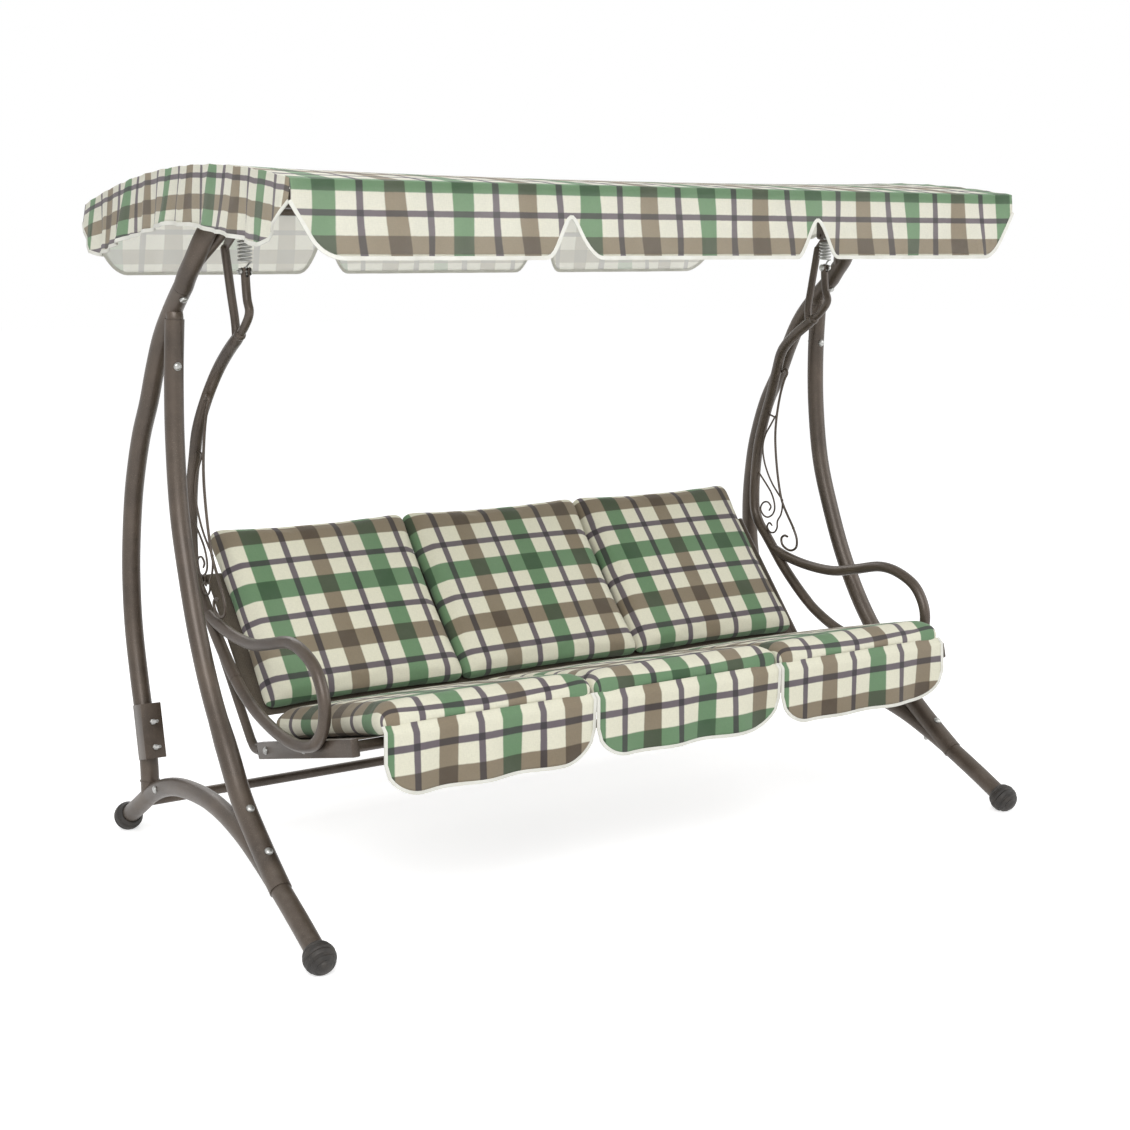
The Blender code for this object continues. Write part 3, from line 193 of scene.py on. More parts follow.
@dataclass(frozen=True)
class ChairSizes:
    """The driving sizes and outlines that the whole chair shares, in metres and shares."""

    base_half_width: float = 1.0
    base_depth: float = 1.110
    base_middle_y: float = -0.064
    beam_height: float = 1.575
    beam_y: float = -0.010
    beam_half_length: float = 0.80
    lean: float = 0.024
    tube_radius: float = 0.0225
    sleeve_radius: float = 0.0248
    stub_radius: float = 0.0200
    foot_radius: float = 0.036
    foot_flat: float = 0.0025
    hinge_drop: float = 0.075
    hinge_y: float = -0.012
    hanger_half_width: float = 0.857
    arm_half_width: float = 0.8815
    hang_depth: float = 1.202
    spring_height: float = 0.0860
    bounce_travel: float = 0.020
    seat_tilt: float = math.radians(14.2)
    back_recline: float = math.radians(41.6)
    seat_depth: float = 0.545
    seat_corner_y: float = 0.012
    seat_corner_drop: float = 1.2010
    bar_radius: float = 0.0125
    sling_thickness: float = 0.003
    gap: float = 0.0003
    base: tuple = (
        (0.000, 0.0213), (0.084, 0.0495), (0.184, 0.0806), (0.261, 0.1016), (0.336, 0.1187),
        (0.416, 0.1308), (0.504, 0.1371), (0.597, 0.1346), (0.693, 0.1251), (0.775, 0.1086),
        (0.845, 0.0870), (0.923, 0.0540), (1.000, 0.0213))
    front_leg: tuple = (
        (0.681, 0.8286), (0.689, 0.7450), (0.687, 0.6540), (0.666, 0.5460), (0.623, 0.4571),
        (0.571, 0.3746), (0.505, 0.2984), (0.418, 0.2235), (0.354, 0.1702), (0.285, 0.1314),
        (0.227, 0.1029), (0.169, 0.0762))
    rear_leg: tuple = (
        (0.858, 0.0820), (0.862, 0.1270), (0.879, 0.1841), (0.915, 0.2597), (0.948, 0.3467),
        (0.957, 0.4375), (0.940, 0.5333), (0.920, 0.5841), (0.882, 0.6470), (0.833, 0.7010),
        (0.795, 0.7517), (0.749, 0.8019), (0.679, 0.8495), (0.634, 0.8749))
    stub_top: tuple = (0.690, 0.8462)
    elbow: tuple = (
        (0.006, 0.263, 0.137), (0.030, 0.632, 0.315), (0.102, 0.895, 0.543),
        (0.251, 1.000, 0.772), (0.491, 1.000, 0.934), (0.760, 1.000, 1.000))

    def outline(self, sign: int, shares: Sequence) -> list[Vector]:
        """Return a side frame's outline in metres from its shares."""
        front_y = self.base_middle_y - self.base_depth / 2
        points = []
        for depth, height in shares:
            z = self.beam_height * height
            points.append(Vector((
                sign * (self.base_half_width - self.lean * z), front_y + self.base_depth * depth,
                z)))
        return points

    def base_path(self, sign: int) -> list[Vector]:
        """Return the path of a base tube, which ends at the height of the feet."""
        points = self.outline(sign, self.base)
        points[0].z = points[-1].z = self.foot_radius - self.foot_flat
        return points

    def hinge(self, x: float) -> Vector:
        """Return the point of the swing axis at this X."""
        return Vector((x, self.hinge_y, self.beam_height - self.hinge_drop))

    def hang(self, sign: int, depth: float, drop: float, splay: float) -> Vector:
        """Return a swing arm's point from its shares behind and below the hinge."""
        x = self.hanger_half_width + (self.arm_half_width - self.hanger_half_width) * splay
        return self.hinge(sign * x) + Vector((0, self.hang_depth * depth, -self.hang_depth * drop))

    @property
    def rail(self) -> Vector:
        """Return the direction from the seat frame's rear corner to its front."""
        return Vector((0, -math.cos(self.seat_tilt), math.sin(self.seat_tilt)))

    @property
    def seat_up(self) -> Vector:
        """Return the seat's upward normal."""
        return Vector((0, math.sin(self.seat_tilt), math.cos(self.seat_tilt)))

    @property
    def back(self) -> Vector:
        """Return the direction up the backrest."""
        return Vector((0, math.sin(self.back_recline), math.cos(self.back_recline)))

    @property
    def back_out(self) -> Vector:
        """Return the backrest's forward normal."""
        return Vector((0, -math.cos(self.back_recline), math.sin(self.back_recline)))

    def corner(self, x: float) -> Vector:
        """Return the rear corner of the seat frame's centre line at this X."""
        return Vector((x, self.seat_corner_y,
                       self.beam_height - self.hinge_drop - self.seat_corner_drop))


CHAIR = ChairSizes()


class Board:
    """Places and links the nodes of one tree."""

    def __init__(self, tree: bpy.types.NodeTree) -> None:
        """Keep the tree whose nodes are placed."""
        self.tree = tree

    def fill(self, node: bpy.types.Node, inputs: dict) -> bpy.types.Node:
        """Link a socket to each given input of a node, or set the input's own value."""
        for key, value in inputs.items():
            if isinstance(value, Socket):
                self.tree.links.new(value, node.inputs[key])
            else:
                node.inputs[key].default_value = value
        return node

    def add(self, kind: str, inputs: dict | None = None, **settings: object) -> bpy.types.Node:
        """Add one node.

        Args:
            kind: The node's type.
            inputs: Values or output sockets by the input's name or number.
            **settings: Properties of the node itself.

        Returns:
            The new node.
        """
        node = self.tree.nodes.new(kind)
        for name, value in settings.items():
            setattr(node, name, value)
        return self.fill(node, inputs or {})

    def maths(self, operation: str, first: object, second: object = 0.0) -> Socket:
        """Add a Math node and return its output."""
        return self.add("ShaderNodeMath", {0: first, 1: second}, operation=operation).outputs[0]

    def mix(self, blend: str, factor: object, first: object, second: object) -> Socket:
        """Add a colour Mix node and return its output."""
        return self.add("ShaderNodeMix", {0: factor, 6: first, 7: second},
                        data_type="RGBA", blend_type=blend).outputs[2]

    def noise(self, vector: Socket, scale: object, detail: float, rough: float = 0.5) -> Socket:
        """Add a Noise texture and return its value."""
        return self.add("ShaderNodeTexNoise", {
            "Vector": vector, "Scale": scale, "Detail": detail, "Roughness": rough}).outputs["Fac"]

    def bump(self, height: Socket, strength: float, distance: float) -> Socket:
        """Add a Bump node and return its normal."""
        return self.add("ShaderNodeBump", {
            "Height": height, "Strength": strength, "Distance": distance}).outputs[0]

    def ramp(self, factor: object, stops: Sequence) -> Socket:
        """Add a colour ramp with the given stops and return its colour."""
        node = self.add("ShaderNodeValToRGB", {0: factor})
        elements = node.color_ramp.elements
        for position, _ in stops[2:]:
            elements.new(position)
        for element, (position, colour) in zip(elements, stops):
            element.position = position
            element.color = colour
        return node.outputs[0]

    def spread(self, value: object, low: float, high: float) -> Socket:
        """Map a value of 0 to 1 onto a range and return it."""
        return self.add("ShaderNodeMapRange", {0: value, 3: low, 4: high}).outputs[0]

    def window(self, value: object, start: float, end: float, top: float = 1.0) -> Socket:
        """Map a range of a value onto 0 to the top and return it."""
        return self.add("ShaderNodeMapRange", {0: value, 1: start, 2: end, 4: top}).outputs[0]


def shader_group(name: str, inputs: dict, outputs: dict) -> tuple[Board, object, object]:
    """Start a shader node group.

    Args:
        name: The group's name.
        inputs: Socket type and default value by the input's name.
        outputs: Socket type by the output's name.

    Returns:
        The board, the group's input node and its output node.
    """
    tree = bpy.data.node_groups.new(name, "ShaderNodeTree")
    for label, (kind, value) in inputs.items():
        socket = tree.interface.new_socket(label, in_out="INPUT", socket_type=kind)
        if value is not None:
            socket.default_value = value
    for label, kind in outputs.items():
        tree.interface.new_socket(label, in_out="OUTPUT", socket_type=kind)
    board = Board(tree)
    return board, board.add("NodeGroupInput"), board.add("NodeGroupOutput")


def fine_grain_group() -> bpy.types.NodeTree:
    """Build the group that gives a surface its mottling, its fine grain and its dust."""
    board, given, made = shader_group(
        "fine_grain",
        {"Vector": ("NodeSocketVector", None), "Grain Scale": (NUMBER, 900.0),
         "Mottle Scale": (NUMBER, 9.0)},
        {"Mottle": NUMBER, "Grain": NUMBER, "Dust": NUMBER})
    vector = given.outputs["Vector"]
    height = board.add("ShaderNodeSeparateXYZ", {0: vector}).outputs["Z"]
    low = board.add("ShaderNodeMapRange", {0: height, 1: 0.0, 2: 0.35, 3: 1.0, 4: 0.0}).outputs[0]
    patchy = board.window(board.noise(vector, 30.0, 6.0, 0.7), 0.45, 0.75)
    board.fill(made, {
        "Mottle": board.noise(vector, given.outputs["Mottle Scale"], 5.0, 0.62),
        "Grain": board.noise(vector, given.outputs["Grain Scale"], 2.0),
        "Dust": board.maths("MULTIPLY", low, patchy)})
    return board.tree


def woven_threads_group() -> bpy.types.NodeTree:
    """Build the group that weaves threads over two coordinates given in metres."""
    board, given, made = shader_group(
        "woven_threads",
        {"Along": (NUMBER, 0.0), "Across": (NUMBER, 0.0), "Pitch": (NUMBER, 0.0016)},
        {"Height": NUMBER, "Slub": NUMBER})
    along, across = given.outputs["Along"], given.outputs["Across"]
    turns = board.maths("DIVIDE", 2 * math.pi, given.outputs["Pitch"])
    yarns = [board.maths("MULTIPLY", way, turns) for way in (along, across)]
    over = board.maths("MULTIPLY", *(board.maths("SINE", yarn) for yarn in yarns))
    warp, weft = (board.maths("ABSOLUTE", board.maths("SINE", board.maths("MULTIPLY", yarn, 0.5)))
                  for yarn in yarns)
    upper = board.maths("GREATER_THAN", over, 0.0)
    streaks = []
    for first, second in ((board.maths("MULTIPLY", along, 0.25), across),
                          (along, board.maths("MULTIPLY", across, 0.25))):
        place = board.add("ShaderNodeCombineXYZ", {0: first, 1: second}).outputs[0]
        streaks.append(board.noise(place, 420.0, 2.0))
    board.fill(made, {
        "Height": board.add("ShaderNodeMix", {0: upper, 2: warp, 3: weft}).outputs[0],
        "Slub": board.maths("MULTIPLY", board.maths("ADD", *streaks), 0.5)})
    return board.tree


def plaid_tint_group() -> bpy.types.NodeTree:
    """Build the group that prints the plaid of green, brown and thin violet bands."""
    board, given, made = shader_group(
        "plaid_tint",
        {"Along": (NUMBER, 0.0), "Across": (NUMBER, 0.0), "Along Green": (NUMBER, 0.0),
         "Across Green": (NUMBER, 0.0), "Along Period": (NUMBER, 0.32),
         "Across Period": (NUMBER, 0.32), "Wobble": (NUMBER, 0.0012)},
        {"Color": "NodeSocketColor"})
    ground = linear(229, 226, 205)
    green, brown, thin = (
        tuple(min(1.0, value / base) for value, base in zip(linear(*shade), ground))
        for shade in ((97, 134, 95), (133, 119, 97), (98, 88, 95)))
    stops = [(0.0, green), (0.155, green), (0.170, WHITE), (0.443, WHITE), (0.455, thin),
             (0.545, thin), (0.557, WHITE), (0.845, WHITE), (0.860, brown), (1.0, brown)]
    place = board.add("ShaderNodeCombineXYZ", {
        0: given.outputs["Along"], 1: given.outputs["Across"]}).outputs[0]
    drift = board.add("ShaderNodeTexNoise", {"Vector": place, "Scale": 55.0, "Detail": 2.0})
    split = board.add("ShaderNodeSeparateColor", {0: drift.outputs["Color"]})
    bands = []
    for channel, name in zip(split.outputs, ("Along", "Across")):
        shift = board.maths("MULTIPLY", board.maths("SUBTRACT", channel, 0.5),
                            given.outputs["Wobble"])
        here = board.maths("ADD", given.outputs[name], shift)
        here = board.maths("SUBTRACT", here, given.outputs[name + " Green"])
        share = board.maths("DIVIDE", here, given.outputs[name + " Period"])
        turn = board.maths("FRACT", board.maths("ADD", share, 0.5))
        near = board.maths("ABSOLUTE", board.maths("SUBTRACT", turn, 0.5))
        bands.append(board.ramp(board.maths("MULTIPLY", near, 2.0), stops))
    tint = board.mix("MULTIPLY", 1.0, ground, bands[0])
    board.fill(made, {"Color": board.mix("MULTIPLY", 1.0, tint, bands[1])})
    return board.tree


GRAIN_GROUP, WEAVE_GROUP, PLAID_GROUP = (
    fine_grain_group(), woven_threads_group(), plaid_tint_group())


class Finish:
    """A material in the making, with its node board and its shader."""

    def __init__(self, name: str) -> None:
        """Start the material."""
        self.material = bpy.data.materials.new(name)
        self.material.use_nodes = True
        self.board = Board(self.material.node_tree)
        self.shader = self.material.node_tree.nodes["Principled BSDF"]

    def use(self, tree: bpy.types.NodeTree, inputs: dict) -> bpy.types.Node:
        """Place a shared group in the material with its own values."""
        return self.board.add("ShaderNodeGroup", inputs, node_tree=tree)

    def grain(self, grain_scale: float, mottle_scale: float) -> list[Socket]:
        """Place the shared grain; return its mottle, grain, dust and the place on the piece."""
        place = self.board.add("ShaderNodeTexCoord").outputs["Object"]
        made = self.use(GRAIN_GROUP, {
            "Vector": place, "Grain Scale": grain_scale, "Mottle Scale": mottle_scale})
        return [made.outputs[name] for name in ("Mottle", "Grain", "Dust")] + [place]

    def cloth(self) -> dict[str, Socket]:
        """Return the two coordinates, in metres, of the piece's cloth map."""
        chart = self.board.add("ShaderNodeUVMap", uv_map="cloth").outputs[0]
        split = self.board.add("ShaderNodeSeparateXYZ", {0: chart})
        return {"Along": split.outputs[0], "Across": split.outputs[1]}

    def done(self, inputs: dict) -> Material:
        """Feed or set the shader's inputs and return the material."""
        self.board.fill(self.shader, inputs)
        return self.material


@dataclass(frozen=True)
class PowderCoat:
    """Baked bronze powder paint: a fine orange peel, mottled, with dust near the floor."""

    name: str = "bronze_powder_paint"
    light: Colour = linear(92, 80, 69)
    dark: Colour = linear(66, 57, 49)
    fleck: Colour = linear(136, 122, 110)
    dust: Colour = linear(120, 112, 102)
    roughness: float = 0.40

    def make(self) -> Material:
        """Return the material."""
        finish = Finish(self.name)
        board = finish.board
        mottle, grain, dust, _ = finish.grain(620.0, 7.0)
        colour = board.mix("MIX", board.window(mottle, 0.3, 0.7), self.dark, self.light)
        colour = board.mix("MIX", board.window(grain, 0.62, 0.72, 0.5), colour, self.fleck)
        dusty = board.maths("MULTIPLY", dust, 0.45)
        rough = board.spread(mottle, self.roughness - 0.08, self.roughness + 0.12)
        return finish.done({
            "Base Color": board.mix("MIX", dusty, colour, self.dust),
            "Roughness": board.maths("ADD", rough, board.maths("MULTIPLY", dusty, 0.6)),
            "Normal": board.bump(grain, 0.22, 0.0008), "Metallic": 0.35,
            "Specular IOR Level": 0.5, "Coat Roughness": 0.25,
            "Coat Weight": board.spread(mottle, 0.10, 0.28)})


@dataclass(frozen=True)
class ZincPlate:
    """Bright zinc on bolts and springs: small crystals, brushed and slightly tarnished."""

    name: str = "bright_zinc_plate"
    bright: Colour = linear(206, 206, 202)
    dull: Colour = linear(150, 150, 148)
    roughness: float = 0.30

    def make(self) -> Material:
        """Return the material."""
        finish = Finish(self.name)
        board = finish.board
        mottle, grain, _, place = finish.grain(1500.0, 160.0)
        cells = board.add("ShaderNodeTexVoronoi", {"Vector": place, "Scale": 420.0})
        fleck = board.add("ShaderNodeSeparateColor", {0: cells.outputs["Color"]}).outputs[0]
        shade = board.ramp(fleck, [(0.0, (0.55, 0.56, 0.58, 1.0)), (1.0, WHITE)])
        tone = board.mix("MIX", mottle, self.dull, self.bright)
        return finish.done({
            "Base Color": board.mix("MULTIPLY", 0.25, tone, shade), "Metallic": 1.0,
            "Roughness": board.spread(mottle, self.roughness - 0.06, self.roughness + 0.2),
            "Normal": board.bump(grain, 0.12, 0.0003)})


@dataclass(frozen=True)
class MouldedCap:
    """Dark moulded plastic of the feet and tube plugs, chalky with dust in its ribs."""

    name: str = "dark_moulded_cap"
    body: Colour = linear(42, 39, 36)
    dust: Colour = linear(88, 80, 72)

    def make(self) -> Material:
        """Return the material."""
        finish = Finish(self.name)
        board = finish.board
        mottle, grain, dust, _ = finish.grain(900.0, 34.0)
        tone = board.mix("MIX", board.maths("MULTIPLY", dust, 0.55), self.body, self.dust)
        shade = board.ramp(mottle, [(0.3, grey(0.62)), (0.7, WHITE)])
        return finish.done({
            "Base Color": board.mix("MULTIPLY", 0.5, tone, shade),
            "Roughness": board.spread(mottle, 0.42, 0.68),
            "Normal": board.bump(grain, 0.3, 0.0005)})


@dataclass(frozen=True)
class SlingWeave:
    """Coarse woven sling of coated yarn, dark brown with a lighter crossing yarn."""

    name: str = "dark_sling_weave"
    yarn: Colour = linear(86, 78, 68)
    cross: Colour = linear(112, 102, 88)
    pitch: float = 0.0042

    def make(self) -> Material:
        """Return the material."""
        finish = Finish(self.name)
        board = finish.board
        threads = finish.use(WEAVE_GROUP, {**finish.cloth(), "Pitch": self.pitch}).outputs
        tone = board.mix("MIX", threads["Height"], self.yarn, self.cross)
        slub = board.ramp(threads["Slub"], [(0.3, grey(0.6)), (0.7, WHITE)])
        return finish.done({
            "Base Color": board.mix("MULTIPLY", 0.6, tone, slub), "Roughness": 0.78,
            "Normal": board.bump(threads["Height"], 0.6, 0.0008)})


@dataclass(frozen=True)
class PlaidCloth:
    """Printed plaid cotton, seen on its face or on its back, where it can be painted paler and
    given a faint glow: painted light coming through the thin cloth.
    """

    name: str
    along_green: float
    across_green: float
    along_period: float = 0.32
    across_period: float = 0.32
    # How far the back is painted towards pale: painted light coming through the cloth.
    fade: float = 0.0
    thin: float = 0.0
    # Emission strength of the back: a painted glow of light coming through the cloth, which is no
    # lamp.
    shine_through: float = 0.0
    pale: Colour = linear(236, 236, 228)

    def make(self) -> Material:
        """Return the material."""
        finish = Finish(self.name)
        board, cloth = finish.board, finish.cloth()
        printed = finish.use(PLAID_GROUP, {
            **cloth, "Along Green": self.along_green, "Across Green": self.across_green,
            "Along Period": self.along_period, "Across Period": self.across_period})
        threads = finish.use(WEAVE_GROUP, cloth).outputs
        mottle = finish.grain(300.0, 5.0)[0]
        slub = board.ramp(threads["Slub"], [(0.25, (0.72, 0.73, 0.72, 1.0)), (0.75, WHITE)])
        colour = board.mix("MULTIPLY", 0.55, printed.outputs["Color"], slub)
        colour = board.mix("MIX", board.maths("MULTIPLY", mottle, 0.10), colour, self.pale)
        inputs = {
            "Roughness": board.spread(mottle, 0.78, 0.92), "Specular IOR Level": 0.25,
            "Normal": board.bump(threads["Height"], 0.25, 0.0004),
            "Subsurface Weight": self.thin, "Subsurface Radius": (1.0, 1.0, 1.0),
            "Subsurface Scale": 0.012, "Sheen Weight": 0.12, "Sheen Roughness": 0.5}
        # Painted light: the back is washed towards pale and glows faintly, standing in for light
        # coming through the cloth.
        if self.fade:
            colour = board.mix("MIX", self.fade, colour, self.pale)
        if self.shine_through:
            inputs |= {"Emission Color": colour, "Emission Strength": self.shine_through}
        return finish.done(inputs | {"Base Color": colour})


@dataclass(frozen=True)
class CottonTape:
    """White binding tape sewn round the hems, with its fine ribs."""

    name: str = "white_binding_tape"
    clean: Colour = linear(240, 240, 234)
    soiled: Colour = linear(204, 202, 190)

    def make(self) -> Material:
        """Return the material."""
        finish = Finish(self.name)
        board = finish.board
        mottle, grain, _, _ = finish.grain(700.0, 26.0)
        return finish.done({
            "Base Color": board.mix("MIX", mottle, self.soiled, self.clean),
            "Roughness": board.spread(mottle, 0.75, 0.92),
            "Normal": board.bump(grain, 0.5, 0.0005)})


PAINT = PowderCoat().make()
ZINC = ZincPlate().make()
CAP = MouldedCap().make()
SLING = SlingWeave().make()
TAPE = CottonTape().make()


class Workshop:
    """Makes meshes: swept tubes, turned shapes, plates, sheets and rows of fasteners."""

    def __init__(self) -> None:
        """Build the two geometry trees that the pieces share."""
        self.sweep_tree = self._make_tree("sweep_round_tube", {
            "Radius": NUMBER, "Sides": "NodeSocketInt"}, self._swept)
        self.scatter_tree = self._make_tree("set_fasteners", {
            "Fastener": "NodeSocketObject"}, self._scattered)

    @staticmethod
    def _make_tree(name: str, sockets: dict, build: Callable
                   ) -> tuple[bpy.types.NodeTree, dict[str, str]]:
        """Build a geometry tree that ends in Realize Instances and Set Material.

        Args:
            name: The tree's name.
            sockets: Socket type by the input's name.
            build: Adds the tree's own nodes and returns the geometry's socket.

        Returns:
            The tree and the identifier of each input by its name.
        """
        tree = bpy.data.node_groups.new(name, "GeometryNodeTree")
        face = tree.interface
        face.new_socket("Geometry", in_out="INPUT", socket_type="NodeSocketGeometry")
        known = {label: face.new_socket(label, in_out="INPUT", socket_type=kind).identifier
                 for label, kind in {**sockets, "Finish": "NodeSocketMaterial"}.items()}
        face.new_socket("Geometry", in_out="OUTPUT", socket_type="NodeSocketGeometry")
        board = Board(tree)
        given = board.add("NodeGroupInput").outputs
        real = board.add("GeometryNodeRealizeInstances", {"Geometry": build(board, given)})
        coat = board.add("GeometryNodeSetMaterial", {
            "Geometry": real.outputs[0], "Material": given["Finish"]})
        board.add("NodeGroupOutput", {"Geometry": coat.outputs[0]})
        return tree, known

    @staticmethod
    def _swept(board: Board, given: dict) -> Socket:
        """Sweep a round section along a curve, as thick as the curve's radius says."""
        profile = board.add("GeometryNodeCurvePrimitiveCircle", {
            "Resolution": given["Sides"], "Radius": given["Radius"]})
        thick = board.add("GeometryNodeInputRadius")
        body = board.add("GeometryNodeCurveToMesh", {
            "Curve": given["Geometry"], "Profile Curve": profile.outputs[0],
            "Scale": thick.outputs[0], "Fill Caps": True})
        return board.add("GeometryNodeSetShadeSmooth", {"Geometry": body.outputs[0]}).outputs[0]

    @staticmethod
    def _scattered(board: Board, given: dict) -> Socket:
        """Put one shape on every point, turned the way it faces."""
        facing = board.add("GeometryNodeInputNamedAttribute", {"Name": "facing"},
                           data_type="FLOAT_VECTOR").outputs[0]
        turn = board.add("FunctionNodeAlignRotationToVector", {"Vector": facing}, axis="Z")
        shape = board.add("GeometryNodeObjectInfo", {"Object": given["Fastener"]})
        return board.add("GeometryNodeInstanceOnPoints", {
            "Points": given["Geometry"], "Instance": shape.outputs["Geometry"],
            "Rotation": turn.outputs[0]}).outputs[0]

    @staticmethod
    def settle(obj: bpy.types.Object) -> Mesh:
        """Return the plain mesh of an object with its modifiers, and remove the object."""
        if obj.name not in bpy.context.scene.collection.objects:
            bpy.context.scene.collection.objects.link(obj)
        bpy.context.view_layer.update()
        ready = obj.evaluated_get(bpy.context.evaluated_depsgraph_get())
        mesh = bpy.data.meshes.new_from_object(ready)
        mesh.transform(obj.matrix_world)
        bpy.data.objects.remove(obj)
        return mesh

    def run_tree(self, obj: bpy.types.Object, tree: bpy.types.NodeTree,
                 values: dict[str, object]) -> Mesh:
        """Run a geometry tree on an object and return its plain mesh.

        Args:
            obj: The object whose geometry goes in.
            tree: The geometry tree.
            values: Input values by socket identifier.

        Returns:
            The resulting mesh; the object is removed.
        """
        modifier = obj.modifiers.new("tree", "NODES")
        modifier.node_group = tree
        for identifier, value in values.items():
            modifier[identifier] = value
        return self.settle(obj)

    def sweep(self, points: Points, radius: float, sides: int = 28,
              factors: Sequence[float] | None = None, finish: Material = PAINT) -> Mesh:
        """Sweep a round tube along the points.

        Args:
            points: The middle line of the tube.
            radius: The tube's radius.
            sides: How many sides its section has.
            factors: What multiplies the radius at each point.
            finish: The tube's material.

        Returns:
            The tube's mesh.
        """
        curve = bpy.data.curves.new("path", "CURVE")
        curve.dimensions = "3D"
        spline = curve.splines.new("POLY")
        spline.points.add(len(points) - 1)
        for index, point in enumerate(points):
            spline.points[index].co = (*point, 1.0)
            spline.points[index].radius = factors[index] if factors else 1.0
        path = bpy.data.objects.new("path", curve)
        tree, known = self.sweep_tree
        return self.run_tree(path, tree, {
            known["Radius"]: radius, known["Sides"]: sides, known["Finish"]: finish})

    def scatter(self, shape: Mesh, places: Bolts, finish: Material = ZINC) -> Mesh:
        """Put one shape on many places.

        Args:
            shape: The mesh that is repeated, standing on its origin along +Z.
            places: The point and the facing direction of each copy.
            finish: The material of the copies.

        Returns:
            One mesh with every copy.
        """
        mesh = bpy.data.meshes.new("places")
        mesh.from_pydata([place for place, _ in places], [], [])
        facing = mesh.attributes.new("facing", "FLOAT_VECTOR", "POINT").data
        facing.foreach_set("vector", [number for _, way in places for number in way])
        source = bpy.data.objects.new("fastener", shape)
        bpy.context.scene.collection.objects.link(source)
        tree, known = self.scatter_tree
        made = self.run_tree(bpy.data.objects.new("places", mesh), tree, {
            known["Fastener"]: source, known["Finish"]: finish})
        bpy.data.objects.remove(source)
        return made

    @staticmethod
    def lathe(profile: Sequence[tuple[float, float]], place: Matrix, steps: int = 32,
              finish: Material = CAP) -> Mesh:
        """Turn a profile about the frame's Z axis.

        Args:
            profile: Radius and height of each ring, from one end to the other.
            place: The frame of the turned shape.
            steps: How many sides it has.
            finish: Its material.

        Returns:
            The closed mesh.
        """
        shape = bmesh.new()
        rings = []
        for radius, height in profile:
            if radius < TINY:
                rings.append([shape.verts.new((0, 0, height))])
                continue
            rings.append([shape.verts.new((u, v, height)) for u, v in circle(radius, steps)])
        for lower, upper in zip(rings, rings[1:]):
            for step in range(steps):
                after = (step + 1) % steps
                corners = [lower[step % len(lower)], lower[after % len(lower)],
                           upper[after % len(upper)], upper[step % len(upper)]]
                unique = list(dict.fromkeys(corners))
                if len(unique) > 2:
                    shape.faces.new(unique)
        bmesh.ops.recalc_face_normals(shape, faces=shape.faces)
        shape.transform(place)
        return Workshop.to_mesh(shape, finish)

    @staticmethod
    def to_mesh(shape: bmesh.types.BMesh, finish: Material, smooth: bool = True) -> Mesh:
        """Turn a bmesh into a mesh with a material, its sharp edges marked."""
        mesh = bpy.data.meshes.new("shape")
        shape.to_mesh(mesh)
        shape.free()
        mesh.materials.append(finish)
        if smooth:
            mesh.shade_smooth()
            mesh.set_sharp_from_angle(angle=CREASE)
        return mesh

    @staticmethod
    def plate(outline: Sequence[tuple[float, float]], thickness: float, place: Matrix,
              bevel: float = 0.0008, finish: Material = PAINT) -> Mesh:
        """Make a plate with eased edges from a flat outline.

        Args:
            outline: The plate's corners in the frame's XY plane.
            thickness: The plate's thickness along the frame's Z.
            place: The frame at the plate's middle.
            bevel: How far its edges are eased.
            finish: Its material.

        Returns:
            The plate's mesh.
        """
        shape = bmesh.new()
        face = shape.faces.new([shape.verts.new((u, v, -thickness / 2)) for u, v in outline])
        grown = bmesh.ops.extrude_face_region(shape, geom=[face])
        moved = [item for item in grown["geom"] if isinstance(item, bmesh.types.BMVert)]
        bmesh.ops.translate(shape, verts=moved, vec=(0, 0, thickness))
        bmesh.ops.recalc_face_normals(shape, faces=shape.faces)
        if bevel:
            edges = [edge for edge in shape.edges if edge.calc_face_angle(0) > EASED]
            bmesh.ops.bevel(shape, geom=edges, offset=bevel, segments=2, profile=0.5,
                            affect="EDGES", clamp_overlap=True)
        shape.transform(place)
        return Workshop.to_mesh(shape, finish)

    def carve(self, mesh: Mesh, cutter: Mesh) -> Mesh:
        """Cut one mesh out of another and return what is left."""
        body, tool = (bpy.data.objects.new(name, shape)
                      for name, shape in (("body", mesh), ("tool", cutter)))
        for obj in (body, tool):
            bpy.context.scene.collection.objects.link(obj)
        cut = body.modifiers.new("cut", "BOOLEAN")
        cut.solver = "EXACT"
        cut.object = tool
        made = self.settle(body)
        bpy.data.objects.remove(tool)
        made.set_sharp_from_angle(angle=CREASE)
        return made

    @staticmethod
    def weave(columns: int, rows: int, lay: Callable, finish: Material,
              hanging: bool = False) -> tuple[Mesh, float, list[list[Vector]]]:
        """Weave a sheet over a grid, with its map in metres.

        Args:
            columns: How many cells the sheet has across.
            rows: How many cells it has along.
            lay: Takes a place of -1 to 1 across and of 0 to 1 along, and returns the
                point there and its place on the flat cloth.
            finish: The sheet's material.
            hanging: Whether the rows run down, which turns the faces round.

        Returns:
            The sheet's mesh, its area and its points by row and column.
        """
        shape = bmesh.new()
        chart = shape.loops.layers.uv.new("cloth")
        cells = [[lay(2 * i / columns - 1, j / rows) for i in range(columns + 1)]
                 for j in range(rows + 1)]
        grid = [[shape.verts.new(place) for place, _ in line] for line in cells]
        for j in range(rows):
            for i in range(columns):
                keys = [(i, j), (i + 1, j), (i + 1, j + 1), (i, j + 1)]
                if hanging:
                    keys[1:] = keys[:0:-1]
                face = shape.faces.new([grid[b][a] for a, b in keys])
                for loop, (a, b) in zip(face.loops, keys):
                    loop[chart].uv = cells[b][a][1]
        area = sum(face.calc_area() for face in shape.faces)
        return (Workshop.to_mesh(shape, finish), area,
                [[place for place, _ in line] for line in cells])

